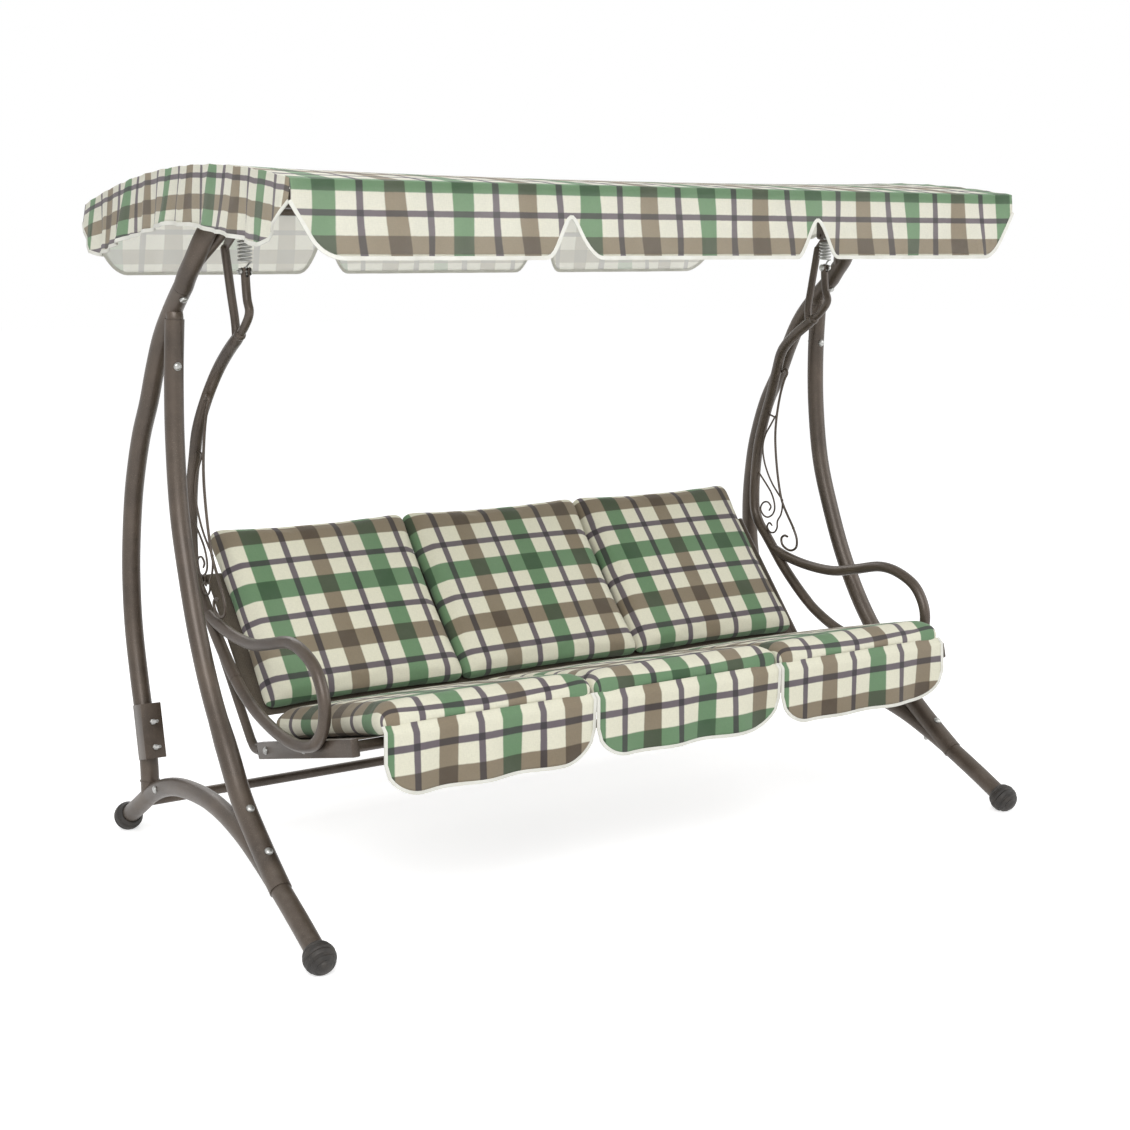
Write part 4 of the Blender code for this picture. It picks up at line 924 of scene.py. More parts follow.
    def thicken(self, mesh: Mesh, thickness: float, offset: float = 0, inner: int = 0) -> Mesh:
        """Give a sheet its thickness.

        Args:
            mesh: The sheet.
            thickness: Its thickness.
            offset: Where the wall grows: 0 to both sides and -1 to the inside.
            inner: How many materials further the inside's material stands.

        Returns:
            The sheet with both faces and its edge.
        """
        obj = bpy.data.objects.new("sheet", mesh)
        wall = obj.modifiers.new("thickness", "SOLIDIFY")
        wall.thickness, wall.offset, wall.material_offset = thickness, offset, inner
        return self.settle(obj)

    @staticmethod
    def merge(name: str, meshes: Sequence[Mesh]) -> bpy.types.Object:
        """Join meshes into one object at the origin, keeping their materials."""
        finishes: list[Material] = []
        shape = bmesh.new()
        for mesh in meshes:
            first = len(shape.faces)
            shape.from_mesh(mesh)
            shape.faces.ensure_lookup_table()
            slots = []
            for material in mesh.materials:
                if material not in finishes:
                    finishes.append(material)
                slots.append(finishes.index(material))
            for face in shape.faces[first:]:
                if slots:
                    face.material_index = slots[min(face.material_index, len(slots) - 1)]
            bpy.data.meshes.remove(mesh)
        joined = bpy.data.meshes.new(name)
        shape.to_mesh(joined)
        shape.free()
        for material in finishes:
            joined.materials.append(material)
        obj = bpy.data.objects.new(name, joined)
        bpy.context.scene.collection.objects.link(obj)
        return obj


SHOP = Workshop()


def dress(obj: bpy.types.Object, body: Body, slot: Slot, *nodes: str) -> bpy.types.Object:
    """Put a finished piece on its body in place of its nodes.

    Args:
        obj: The finished piece.
        body: The body that it rides on.
        slot: Not used.
        *nodes: The nodes that it stands for.

    Returns:
        The piece.
    """
    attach(obj, body.value)
    if nodes:
        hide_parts(*nodes)
    LOG.info("piece %s on %s, %d faces", obj.name, body.value, len(obj.data.polygons))
    return obj


def stand_in(node: str, ending: str, meshes: Sequence[Mesh], body: Body,
             slot: Slot = Slot.PAINT) -> bpy.types.Object:
    """Join the meshes into the piece that stands in for one node.

    Args:
        node: The node.
        ending: The word that ends the piece's name.
        meshes: The piece's meshes.
        body: The body that it rides on.
        slot: The record's material slot, which it hands on to dress.

    Returns:
        The piece.
    """
    return dress(SHOP.merge(f"{node}_{ending}", meshes), body, slot, node)


@dataclass
class Fasteners:
    """Bolt heads, washers and nuts, repeated wherever pieces are joined."""

    head_radius: float = 0.0085
    head_height: float = 0.0045
    washer_radius: float = 0.0095
    washer_height: float = 0.0012
    nut_radius: float = 0.0075
    nut_height: float = 0.0060
    bolt_radius: float = 0.0040
    thread_steps: int = 5
    thread_length: float = 0.0035

    def dome_head(self) -> Mesh:
        """Return a domed head on its washer, standing on the origin."""
        rim, top = self.washer_height * 1.8, self.washer_height + self.head_height
        profile = [
            (0, 0), (self.washer_radius, 0), (self.washer_radius, self.washer_height),
            (self.head_radius, self.washer_height), (self.head_radius, rim)]
        for degrees in (15, 35, 55, 75):
            turn = math.radians(degrees)
            profile.append((self.head_radius * math.cos(turn),
                            rim + (top - rim) * math.sin(turn)))
        return SHOP.lathe(profile + [(0, top)], Matrix(), 20, ZINC)

    def hex_nut(self) -> Mesh:
        """Return a six-sided nut with its thread end, standing on the origin."""
        nut = SHOP.plate(circle(self.nut_radius, 6), self.nut_height,
                         Matrix.Translation((0, 0, self.nut_height / 2)), 0.0006, ZINC)
        tip = self.nut_height + self.thread_length + 0.0005
        thread = [(0, 0), (self.bolt_radius, 0)]
        for step in range(self.thread_steps):
            height = self.nut_height + self.thread_length * step / self.thread_steps
            thread += [(self.bolt_radius, height), (self.bolt_radius * 0.88, height + 0.00035)]
        thread += [(self.bolt_radius * 0.8, tip), (0, tip)]
        shape = bmesh.new()
        for mesh in (nut, SHOP.lathe(thread, Matrix(), 14, ZINC)):
            shape.from_mesh(mesh)
            bpy.data.meshes.remove(mesh)
        return SHOP.to_mesh(shape, ZINC)


@dataclass
class SideFrame:
    """One leaning side: base tube, two legs, elbow, feet, foot bracket and bolts."""

    side: Side
    stretch_steps: int = 5
    bolt_steps: int = 12
    tube_sides: int = 32
    stub_straight: float = 0.005
    shoulder: float = 0.0005
    bead_wire: float = 0.0016
    bead_steps: int = 40
    bead_share: float = 0.9
    bead_wave: float = 0.0007
    bead_waves: int = 9
    stub_bead: float = 0.0015
    leg_bead: float = 0.0006
    foot_collar: float = 0.004
    foot_play: float = 0.0004
    foot_ease: float = 0.0006
    foot_ribs: int = 5
    rib_steps: int = 8
    rib_depth: float = 0.0026
    rib_start: float = 20
    plug_depth: float = 0.012
    saddle_wall: float = 0.003
    saddle_reach: float = 0.055
    saddle_step: float = 0.004
    saddle_length: float = 0.135
    saddle_start: float = 0.020
    saddle_bolts: tuple = (-0.30, 0.16)
    rod_length: float = 0.036
    rod_radius: float = 0.0040
    rod_tip: float = 0.0033
    thread_root: float = 0.0035
    thread_pitch: float = 0.00125
    bolt_seat: float = 0.0002
    bolt_reach: float = 0.09
    bolt_step: float = 0.0002
    bolt_least: float = 0.8
    heads: Bolts = field(default_factory=list)
    nuts: Bolts = field(default_factory=list)

    @property
    def sign(self) -> int:
        """Return the sign of this side's X."""
        return self.side.value

    def rear_path(self) -> list[Vector]:
        """Return the rear leg's outline."""
        return CHAIR.outline(self.sign, CHAIR.rear_leg)

    def front_path(self) -> list[Vector]:
        """Return the front leg's outline."""
        return CHAIR.outline(self.sign, CHAIR.front_leg)

    def elbow_bends(self) -> list[Vector]:
        """Return the elbow's smooth middle line from the rear leg to the top beam."""
        rear = self.rear_path()
        top = rear[-1]
        rise = (rear[-1] - rear[-2]).normalized()
        beam_end = Vector((self.sign * CHAIR.beam_half_length, CHAIR.beam_y, CHAIR.beam_height))
        way = beam_end - top
        bends = [Vector((top.x + way.x * x, top.y + way.y * y, top.z + way.z * z))
                 for x, y, z in CHAIR.elbow]
        inward = Vector((-self.sign, 0, 0))
        start = top + rise * (CHAIR.gap + self.shoulder)
        stop = beam_end - inward * (CHAIR.gap + self.shoulder)
        return [start] + curve_through(
            [start + rise * self.stub_straight] + bends + [stop - inward * self.stub_straight],
            6) + [stop]

    def build(self) -> None:
        """Build and dress every piece of this side."""
        label = self.side.label
        front_points = self.front_path()
        base, front, rear = (curve_through(points, self.stretch_steps) for points in (
            CHAIR.base_path(self.sign), front_points, self.rear_path()))
        stand_in(f"base_tube_{label}", "smooth", [
            SHOP.sweep(base, CHAIR.tube_radius, self.tube_sides)], Body.FRAME)

        narrow = CHAIR.tube_radius / CHAIR.sleeve_radius
        sleeve = len(front) - 3 - 4 * self.stretch_steps
        factors = [narrow if index < sleeve else 1.0 for index in range(len(front))]
        factors[sleeve] = narrow + (1 - narrow) * 0.5
        stand_in(f"front_leg_{label}", "smooth", [
            SHOP.sweep(front, CHAIR.sleeve_radius, self.tube_sides, factors)], Body.FRAME)

        top = front_points[0]
        rise = (top - front_points[1]).normalized()
        stub_top = CHAIR.outline(self.sign, [CHAIR.stub_top])[0]
        stub = [stub_top, top + rise * self.stub_straight, top + rise * CHAIR.gap]
        stand_in(f"rear_leg_{label}", "smooth", [
            SHOP.sweep(rear, CHAIR.tube_radius, self.tube_sides),
            SHOP.sweep(curve_through(stub, 3), CHAIR.stub_radius)], Body.FRAME)
        self.weld_beads(front, rear, stub_top)
        stand_in(f"elbow_{label}", "smooth", [
            SHOP.sweep(self.elbow_bends(), CHAIR.tube_radius, self.tube_sides)], Body.FRAME)
        for end in ("front", "rear"):
            self.build_foot(end)
        self.build_saddle()
        self.place_bolts()

    def weld_beads(self, front: Points, rear: Points, stub_top: Vector) -> None:
        """Lay the weld beads where tubes are joined for good.

        Args:
            front: The front leg's middle line.
            rear: The rear leg's middle line.
            stub_top: Where the stub meets the rear leg.
        """
        beads = []
        for middle, way, radius in (
                (stub_top, (stub_top - front[0]).normalized(),
                 CHAIR.stub_radius + self.stub_bead),
                (rear[0] + (rear[3] - rear[0]) * self.bead_share,
                 (rear[3] - rear[0]).normalized(), CHAIR.tube_radius + self.leg_bead)):
            place = aim(middle, middle + way)
            turns = [2 * math.pi * step / self.bead_steps for step in range(self.bead_steps + 1)]
            ring = [place @ Vector((radius * math.cos(turn), radius * math.sin(turn),
                                    self.bead_wave * math.sin(self.bead_waves * turn)))
                    for turn in turns]
            beads.append(SHOP.sweep(ring, self.bead_wire, 8))
        dress(SHOP.merge(f"weld_beads_{self.side.label}", beads), Body.FRAME, Slot.PAINT)

    def build_foot(self, end: str) -> None:
        """Make one ribbed ball foot, flat where it stands."""
        path = CHAIR.base_path(self.sign)
        tip, inner = (path[0], path[1]) if end == "front" else (path[-1], path[-2])
        bore = CHAIR.tube_radius + self.foot_play
        rim = bore + self.foot_collar
        collar = math.sqrt(CHAIR.foot_radius ** 2 - rim ** 2)
        low = math.degrees(math.atan2(rim, -collar))
        profile = [(0, CHAIR.foot_radius)]
        count = self.foot_ribs * self.rib_steps
        for step in range(1, count):
            degrees = low * step / count
            turn = math.radians(degrees)
            wave = max(0.0, math.sin(2 * math.pi * step / self.rib_steps))
            radius = CHAIR.foot_radius - (self.rib_depth * wave if degrees > self.rib_start else 0)
            profile.append((radius * math.sin(turn), radius * math.cos(turn)))
        profile += [(rim, -collar), (bore + self.foot_ease, -collar - self.foot_ease),
                    (bore, -collar), (bore, -collar + self.plug_depth),
                    (0, -collar + self.plug_depth)]
        mesh = SHOP.lathe(profile, aim(tip, tip + (tip - inner).normalized()), 48, CAP)
        for vertex in mesh.vertices:
            vertex.co.z = max(vertex.co.z, 0.0)
        stand_in(f"{end}_foot_{self.side.label}", "ribbed", [mesh], Body.FRAME, Slot.CAP)

    def build_saddle(self) -> None:
        """Make the bent channel that hugs the foot of the rear leg, and its long bolts."""
        rear = self.rear_path()
        up = (rear[3] - rear[1]).normalized()
        across = X_AXIS * self.sign
        across = (across - up * across.dot(up)).normalized()
        forward = up.cross(across)
        if forward.y > 0:
            forward = -forward
        middle = rear[1] + up * (self.saddle_start + self.saddle_length / 2)
        inner = CHAIR.tube_radius + self.shoulder
        outer, start = inner + self.saddle_wall, self.saddle_step
        reach, face = self.saddle_reach, self.saddle_reach + self.saddle_wall
        outline = [(-outer, start), (-inner, start), (-inner, reach), (inner, reach),
                   (inner, start), (outer, start), (outer, face), (-outer, face)]
        channel = SHOP.plate(outline, self.saddle_length, axes(middle, across, forward, up), 0.0009)
        label = self.side.label
        stand_in(f"saddle_bracket_{label}", "channel", [channel], Body.FRAME)
        rods = []
        for share in self.saddle_bolts:
            at = middle + up * self.saddle_length * share
            front = at + forward * face
            self.heads.append((at - forward * inner, -forward))
            self.nuts.append((front, forward))
            rods.append(self.threaded_rod(front, front + forward * self.rod_length))
        stand_in(f"saddle_bolt_{label}", "threads", rods, Body.FRAME, Slot.ZINC)

    def threaded_rod(self, start: Vector, end: Vector) -> Mesh:
        """Return a threaded bolt end between two points."""
        length = (end - start).length
        profile = [(0, 0), (self.rod_radius, 0)]
        turns = int(length / self.thread_pitch)
        for step in range(turns):
            height = length * (step + 0.2) / (turns + 1)
            profile += [(self.rod_radius, height),
                        (self.thread_root, height + length * 0.5 / (turns + 1))]
        profile += [(self.rod_tip, length), (0, length)]
        return SHOP.lathe(profile, aim(start, end), 12, ZINC)

    def place_bolts(self) -> None:
        """Note where the bolts through the legs, the stub and the elbow have their ends."""
        front, rear = self.front_path(), self.rear_path()
        arch = CHAIR.base_path(self.sign)
        base, smooth_front, smooth_rear = (
            curve_through(points, self.bolt_steps) for points in (arch, front, rear))
        sleeve, tube = CHAIR.sleeve_radius, CHAIR.tube_radius
        for points, index, share, head_path, radius, nut_path in (
                (front, len(front) - 4, 0.45, smooth_front, sleeve, base),
                (front, len(front) - 3, 0.85, smooth_front, sleeve, base),
                (front, 0, 0.80, smooth_front, tube, smooth_front),
                (rear, len(rear) - 2, 0.75, smooth_rear, tube, smooth_rear)):
            at = points[index].lerp(points[index + 1], share)
            along = (points[index + 1] - points[index]).normalized()
            outward = along.cross(X_AXIS).normalized()
            outward = -outward if outward.y > 0 else outward
            self.heads.append((self.skin(head_path, at, outward, radius), outward))
            self.nuts.append((self.skin(nut_path, at, -outward, tube), -outward))
        outward = X_AXIS * self.sign
        self.heads.append((arch[9] + outward * (tube + self.bolt_seat), outward))

    def skin(self, path: Points, at: Vector, direction: Vector, radius: float) -> Vector:
        """Return where a line from a point leaves the tube on a path.

        Args:
            path: The tube's middle line.
            at: The point inside the tube.
            direction: The line's direction.
            radius: The tube's radius.

        Returns:
            The point on the tube's skin.
        """
        depth = 0.0
        while depth < self.bolt_reach:
            depth += self.bolt_step
            here = at + direction * depth
            far = min((here - point).length for point in path)
            if far > radius + self.bolt_seat and depth > radius * self.bolt_least:
                break
        return at + direction * depth


@dataclass
class TopBeam:
    """The top beam between the elbows, and the low stretcher at the rear."""

    stretcher_radius: float = 0.0125
    stretcher_inset: float = 0.6

    def build(self) -> None:
        """Build and dress the two long tubes."""
        ends = [Vector((side.value * CHAIR.beam_half_length, CHAIR.beam_y, CHAIR.beam_height))
                for side in Side]
        stand_in("top_beam", "smooth", [
            SHOP.sweep(straight(*ends, 12), CHAIR.tube_radius, 32)], Body.FRAME)
        starts = []
        for side in Side:
            pair = CHAIR.outline(side.value, CHAIR.base)[-3:-1]
            starts.append((pair[0] + pair[1] * 3) / 4)
        inset = (starts[1] - starts[0]).normalized() * CHAIR.tube_radius * self.stretcher_inset
        stand_in("rear_stretcher", "smooth", [
            SHOP.sweep(straight(starts[0] + inset, starts[1] - inset, 12),
                       self.stretcher_radius, 24)], Body.FRAME)


@dataclass
class Hanger:
    """The pin, strap and bracket tube that carry one side of the seat, and its spring."""

    side: Side
    bends: list[Vector]
    pin_radius: float = 0.005
    strap_thickness: float = 0.006
    strap_width: float = 0.026
    strap_offset: float = 0.019
    strap_round: float = 0.6
    bracket_radius: float = 0.011
    bracket_offset: float = 0.048
    bracket_share: float = 0.44
    knee_share: float = 0.75
    wire: float = 0.0023
    coil: float = 0.0145
    turns: int = 6
    coil_drop: float = 0.0165
    coil_rise: float = 0.0205
    eye: float = 0.0090
    neck_share: float = 0.6
    eye_turns: tuple = (-0.569, -0.458, -0.347, -0.236, -0.125, -0.014, 0.097, 0.172)

    def build(self) -> None:
        """Build and dress the bracket, and wind the spring in place of its node."""
        sign, label = self.side.value, self.side.label
        strap_x = sign * (CHAIR.hanger_half_width - self.strap_offset)
        tip = CHAIR.hinge(sign * (CHAIR.hanger_half_width + self.bracket_offset))
        start = CHAIR.hinge(strap_x - sign * self.strap_thickness)
        pin = SHOP.sweep([start, tip], self.pin_radius, 20)
        drop = CHAIR.hinge_drop + self.pin_radius * 2
        middle = CHAIR.hinge(strap_x) + Z_AXIS * (drop / 2 - self.pin_radius * 2)
        half, tall = self.strap_width / 2, drop / 2
        low = half * self.strap_round
        outline = [(-half, tall), (half, tall), (half, low - tall)]
        outline += [(half * math.cos(turn), low - tall + low * math.sin(turn))
                    for turn in (-math.pi * step / 8 for step in range(1, 8))]
        outline += [(-half, low - tall)]
        strap = SHOP.plate(outline[::-1], self.strap_thickness,
                           axes(middle, Y_AXIS, Z_AXIS, X_AXIS), 0.0010)
        coarse = [self.bends[0]] + self.bends[1:-1:3]
        root = coarse[0].lerp(coarse[5], self.bracket_share)
        knee = root.lerp(tip, self.knee_share) + Y_AXIS * CHAIR.gap
        tube = SHOP.sweep(curve_through([root, root.lerp(knee, 0.5), knee, tip], 6),
                          self.bracket_radius, 20)
        stand_in(f"hanger_bracket_{label}", "welded", [pin, strap, tube], Body.FRAME)
        top = CHAIR.hinge(sign * CHAIR.hanger_half_width)
        bottom = top - Z_AXIS * CHAIR.spring_height
        spring = SHOP.merge(f"spring_{label}_wound", [
            SHOP.sweep(self.spring_path(top, bottom), self.wire, 12, finish=ZINC)])
        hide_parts(f"spring_{label}")
        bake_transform(spring)
        LOG.info("piece %s between hanger and seat", spring.name)

    def spring_path(self, top: Vector, bottom: Vector) -> list[Vector]:
        """Return the wire's middle line: an eye, close coils and a second eye."""
        coil_top, coil_bottom = top.z - self.coil_drop, bottom.z + self.coil_rise
        count = self.turns * 24
        coil = []
        for step in range(count + 1):
            share = step / count
            turn = 2 * math.pi * self.turns * share
            coil.append(Vector((top.x + self.coil * math.cos(turn),
                                top.y + self.coil * math.sin(turn),
                                coil_top + (coil_bottom - coil_top) * share)))
        upper = self.eye_points(top, 1, coil[0])
        lower = self.eye_points(bottom, -1, coil[-1])
        lead_in = curve_through(upper + [coil[0]], 4)[:-1]
        lead_out = curve_through([coil[-1]] + list(reversed(lower)), 4)[1:]
        return lead_in + coil + lead_out

    def eye_points(self, centre: Vector, upward: int, coil_end: Vector) -> list[Vector]:
        """Return the wire's points from an eye's free end to the end of the coil.

        Args:
            centre: The middle of the eye.
            upward: 1 for the upper eye and -1 for the lower one.
            coil_end: Where the coil begins.

        Returns:
            The points of the eye and of its neck.
        """
        points = []
        for share in reversed(self.eye_turns):
            turn = 2 * math.pi * share
            points.append(Vector((centre.x, centre.y - self.eye * math.sin(turn),
                                  centre.z + upward * self.eye * math.cos(turn))))
        neck = (points[-1] + coil_end) / 2
        neck.z = points[-1].z + (coil_end.z - points[-1].z) * self.neck_share
        return points + [neck]


@dataclass
class SwingArm:
    """One swing arm with its forked top, its armrest and the scrolls between them."""

    side: Side
    arm_radius: float = 0.0145
    prong_radius: float = 0.0100
    armrest_radius: float = 0.0140
    taper_steps: int = 2
    taper_start: float = 0.86
    ball_share: float = 0.95
    slot_width: float = 0.0070
    slot_depth: float = 0.024
    prong_top: float = 0.0085
    plate_offset: float = 0.023
    plate_thickness: float = 0.005
    plate_wall: float = 0.0060
    pin_radius: float = 0.005
    pin_play: float = 0.0005
    rim_wire: float = 0.0035
    curl_wire: float = 0.0026
    weld_radius: float = 0.0042
    shank_radius: float = 0.004
    lug: tuple = (0.0480, 0.0300)
    arm: tuple = (
        (0.0330, 0.1900, 0.0), (0.0920, 0.2250, 0.0), (0.1430, 0.2660, 0.1),
        (0.1760, 0.3200, 0.6), (0.2055, 0.3827, 1.0), (0.2280, 0.4426, 1.0),
        (0.2454, 0.4992, 1.0), (0.2546, 0.5657, 1.0), (0.2570, 0.6240, 1.0),
        (0.2529, 0.6656, 1.0), (0.2363, 0.6955, 1.0), (0.2121, 0.7188, 1.0),
        (0.1889, 0.7421, 1.0), (0.1431, 0.7879, 1.0), (0.0932, 0.8295, 1.0),
        (0.0515, 0.8595, 1.0))
    front_prong: tuple = (
        (0.0000, 0.0560), (0.0000, 0.0850), (-0.0050, 0.1230), (-0.0135, 0.1460),
        (0.0090, 0.1730), (0.0500, 0.1990))
    rear_prong: tuple = (
        (0.0500, 0.2010), (0.0540, 0.1660), (0.0525, 0.1160), (0.0500, 0.0700),
        (0.0480, 0.0330))
    armrest: tuple = (
        (0.0515, 0.8595), (0.0241, 0.8760), (-0.0399, 0.9027), (-0.1040, 0.9185),
        (-0.1564, 0.9260), (-0.2313, 0.9260), (-0.3020, 0.9052), (-0.3378, 0.8611),
        (-0.3394, 0.8153), (-0.3103, 0.7696), (-0.2562, 0.7446), (-0.1980, 0.7388),
        (-0.1148, 0.7571), (-0.0399, 0.7729), (0.0516, 0.7737), (0.1300, 0.7640),
        (0.1805, 0.7513))
    rim: tuple = (
        (0.1720, 0.3110), (0.1640, 0.3203), (0.1539, 0.3120), (0.1456, 0.3203),
        (0.1556, 0.3386), (0.1689, 0.3744), (0.1805, 0.4285), (0.1839, 0.4750),
        (0.1789, 0.5283), (0.1681, 0.5840), (0.1556, 0.6256), (0.1464, 0.6423),
        (0.1290, 0.6656), (0.1090, 0.6913), (0.0948, 0.7180), (0.0965, 0.7363),
        (0.1123, 0.7463), (0.1314, 0.7455), (0.1481, 0.7363), (0.1514, 0.7221),
        (0.1406, 0.7138), (0.1273, 0.7155))
    inner: tuple = (
        (0.1830, 0.4250), (0.2030, 0.4517), (0.2213, 0.4767), (0.2296, 0.5042),
        (0.2246, 0.5366), (0.2097, 0.5674), (0.1897, 0.5940), (0.1697, 0.6131),
        (0.1531, 0.6290), (0.1514, 0.6464), (0.1564, 0.6656), (0.1680, 0.6822),
        (0.1690, 0.6990), (0.1790, 0.7110), (0.1960, 0.7120), (0.2060, 0.7000),
        (0.1980, 0.6900), (0.1870, 0.6960))
    link: tuple = ((0.2220, 0.4240), (0.2020, 0.4270), (0.1830, 0.4320))
    arm_curl: tuple = (
        (0.2550, 0.5600), (0.2313, 0.5807), (0.2113, 0.5982), (0.1938, 0.6156),
        (0.1822, 0.6364), (0.1797, 0.6539), (0.1864, 0.6672), (0.2055, 0.6772),
        (0.2230, 0.6730), (0.2330, 0.6590), (0.2240, 0.6440), (0.2060, 0.6400),
        (0.1940, 0.6500), (0.2010, 0.6610))

    def paths(self) -> tuple[list[Vector], list[Vector]]:
        """Return the middle lines of the arm and of the armrest, which meet end to end."""
        arm = [CHAIR.hang(self.side.value, *shares) for shares in self.arm]
        steps = 6
        whole = curve_through(arm + self.hung(self.armrest[1:], 1.0), steps)
        split = steps * (len(arm) - 1)
        along = (whole[split + 1] - whole[split - 1]).normalized()
        return whole[:split + 1], [whole[split] + along * CHAIR.gap] + whole[split + 1:]

    def hung(self, shares: Sequence, splay: float) -> list[Vector]:
        """Return points from their shares behind and below the hinge."""
        return [CHAIR.hang(self.side.value, depth, drop, splay) for depth, drop in shares]

    def build(self) -> tuple[Bolts, Bolts]:
        """Build and dress the arm, armrest and scrolls.

        Returns:
            The places of the bolt heads and of the nuts on this side.
        """
        sign, label = self.side.value, self.side.label
        arm_path, rest_path = self.paths()
        tip = CHAIR.hinge(sign * CHAIR.hanger_half_width) - Z_AXIS * CHAIR.spring_height
        front, rear = self.hung(self.front_prong, 0.0), self.hung(self.rear_prong, 0.0)
        front[0] = tip + Z_AXIS * self.prong_top
        plate_x = sign * (CHAIR.hanger_half_width + self.plate_offset)
        depth, drop = self.lug
        lug = CHAIR.hinge(plate_x) + Vector((0, CHAIR.hang_depth * depth, -CHAIR.hang_depth * drop))
        splay = lug.z - rear[1].z
        for point in rear[1:]:
            point.x += (lug.x - point.x) * (point.z - rear[1].z) / splay
        factors = [min(1.0, self.taper_start + (1 - self.taper_start) * index / self.taper_steps)
                   for index in range(len(arm_path))]
        stand_in(f"swing_arm_{label}", "smooth", [
            SHOP.sweep(arm_path, self.arm_radius, 28, factors),
            self.ball(arm_path[0], self.arm_radius * self.ball_share),
            self.forked_prong(curve_through(front, 6), tip),
            SHOP.sweep(curve_through(rear[:-1] + [lug], 6), self.prong_radius, 22),
            self.ball(lug, self.prong_radius), self.eye_plate(plate_x, lug),
            self.wire(self.arm_curl, self.curl_wire)], Body.SEAT)
        stand_in(f"armrest_{label}", "smooth", [
            SHOP.sweep(rest_path, self.armrest_radius, 28)], Body.SEAT)
        wires = [self.wire(shares, radius) for shares, radius in (
            (self.rim, self.rim_wire), (self.inner, self.curl_wire), (self.link, self.curl_wire))]
        wires += [self.ball(point, self.weld_radius)
                  for point in self.hung((self.rim[0], self.rim[13], self.inner[8]), 1.0)]
        stand_in(f"arm_scroll_{label}", "smooth", wires, Body.SEAT)

        inward = X_AXIS * -sign
        reach = inward * (self.prong_radius + CHAIR.gap)
        ends = [tip + reach, tip - reach]
        stand_in(f"clevis_bolt_{label}", "shank", [
            SHOP.sweep(ends, self.shank_radius, 14, finish=ZINC)], Body.SEAT, Slot.ZINC)
        return [(ends[0], inward)], [(ends[1], -inward)]

    def wire(self, shares: Sequence, radius: float) -> Mesh:
        """Return a wire through the hung points, rounded at both ends."""
        line = curve_through(self.hung(shares, 1.0), 6)
        factors = [0.55, 0.9] + [1.0] * (len(line) - 4) + [0.9, 0.55]
        return SHOP.sweep(line, radius, 14, factors)

    @staticmethod
    def ball(centre: Vector, radius: float) -> Mesh:
        """Return a smooth ball, such as a weld where wires or tubes meet."""
        turns = [math.pi * step / 12 for step in range(1, 12)]
        profile = [(radius * math.sin(turn), -radius * math.cos(turn)) for turn in turns]
        return SHOP.lathe([(0.0, -radius)] + profile + [(0.0, radius)],
                          Matrix.Translation(centre), 24, PAINT)

    def forked_prong(self, line: Points, tip: Vector) -> Mesh:
        """Return the front prong with the slot for the spring's eye cut in its top."""
        shape = bmesh.new()
        size = (self.slot_width, 4 * self.prong_radius, 2 * self.slot_depth)
        bmesh.ops.create_cube(shape, size=1, matrix=Matrix.Diagonal((*size, 1)))
        shape.transform(Matrix.Translation(tip + Z_AXIS * (self.slot_depth / 2)))
        return SHOP.carve(SHOP.sweep(line, self.prong_radius, 28),
                          SHOP.to_mesh(shape, PAINT, False))

    def eye_plate(self, plate_x: float, lug: Vector) -> Mesh:
        """Return the plate whose long hole rides on the hanger pin."""
        slot = self.pin_radius + self.pin_play
        outer = slot + self.plate_wall
        hinge = CHAIR.hinge(plate_x)
        travel = (0, CHAIR.bounce_travel)
        across = axes(hinge, Y_AXIS, Z_AXIS, X_AXIS)

        def hull(circles: Sequence, count: int) -> list[tuple[float, float]]:
            """Return the outline that wraps tightly round a few circles."""
            points = [(u + x, v + y) for (u, v), radius in circles
                      for x, y in circle(radius, count)]
            return [points[index] for index in geometry.convex_hull_2d(points)]

        outline = hull([((0, 0), outer), (travel, outer),
                        ((lug.y - hinge.y, lug.z - hinge.z), self.prong_radius)], 32)
        hole = hull([((0, 0), slot), (travel, slot)], 28)
        return SHOP.carve(SHOP.plate(outline, self.plate_thickness, across, 0.0007),
                          SHOP.plate(hole, 4 * self.plate_thickness, across, 0))


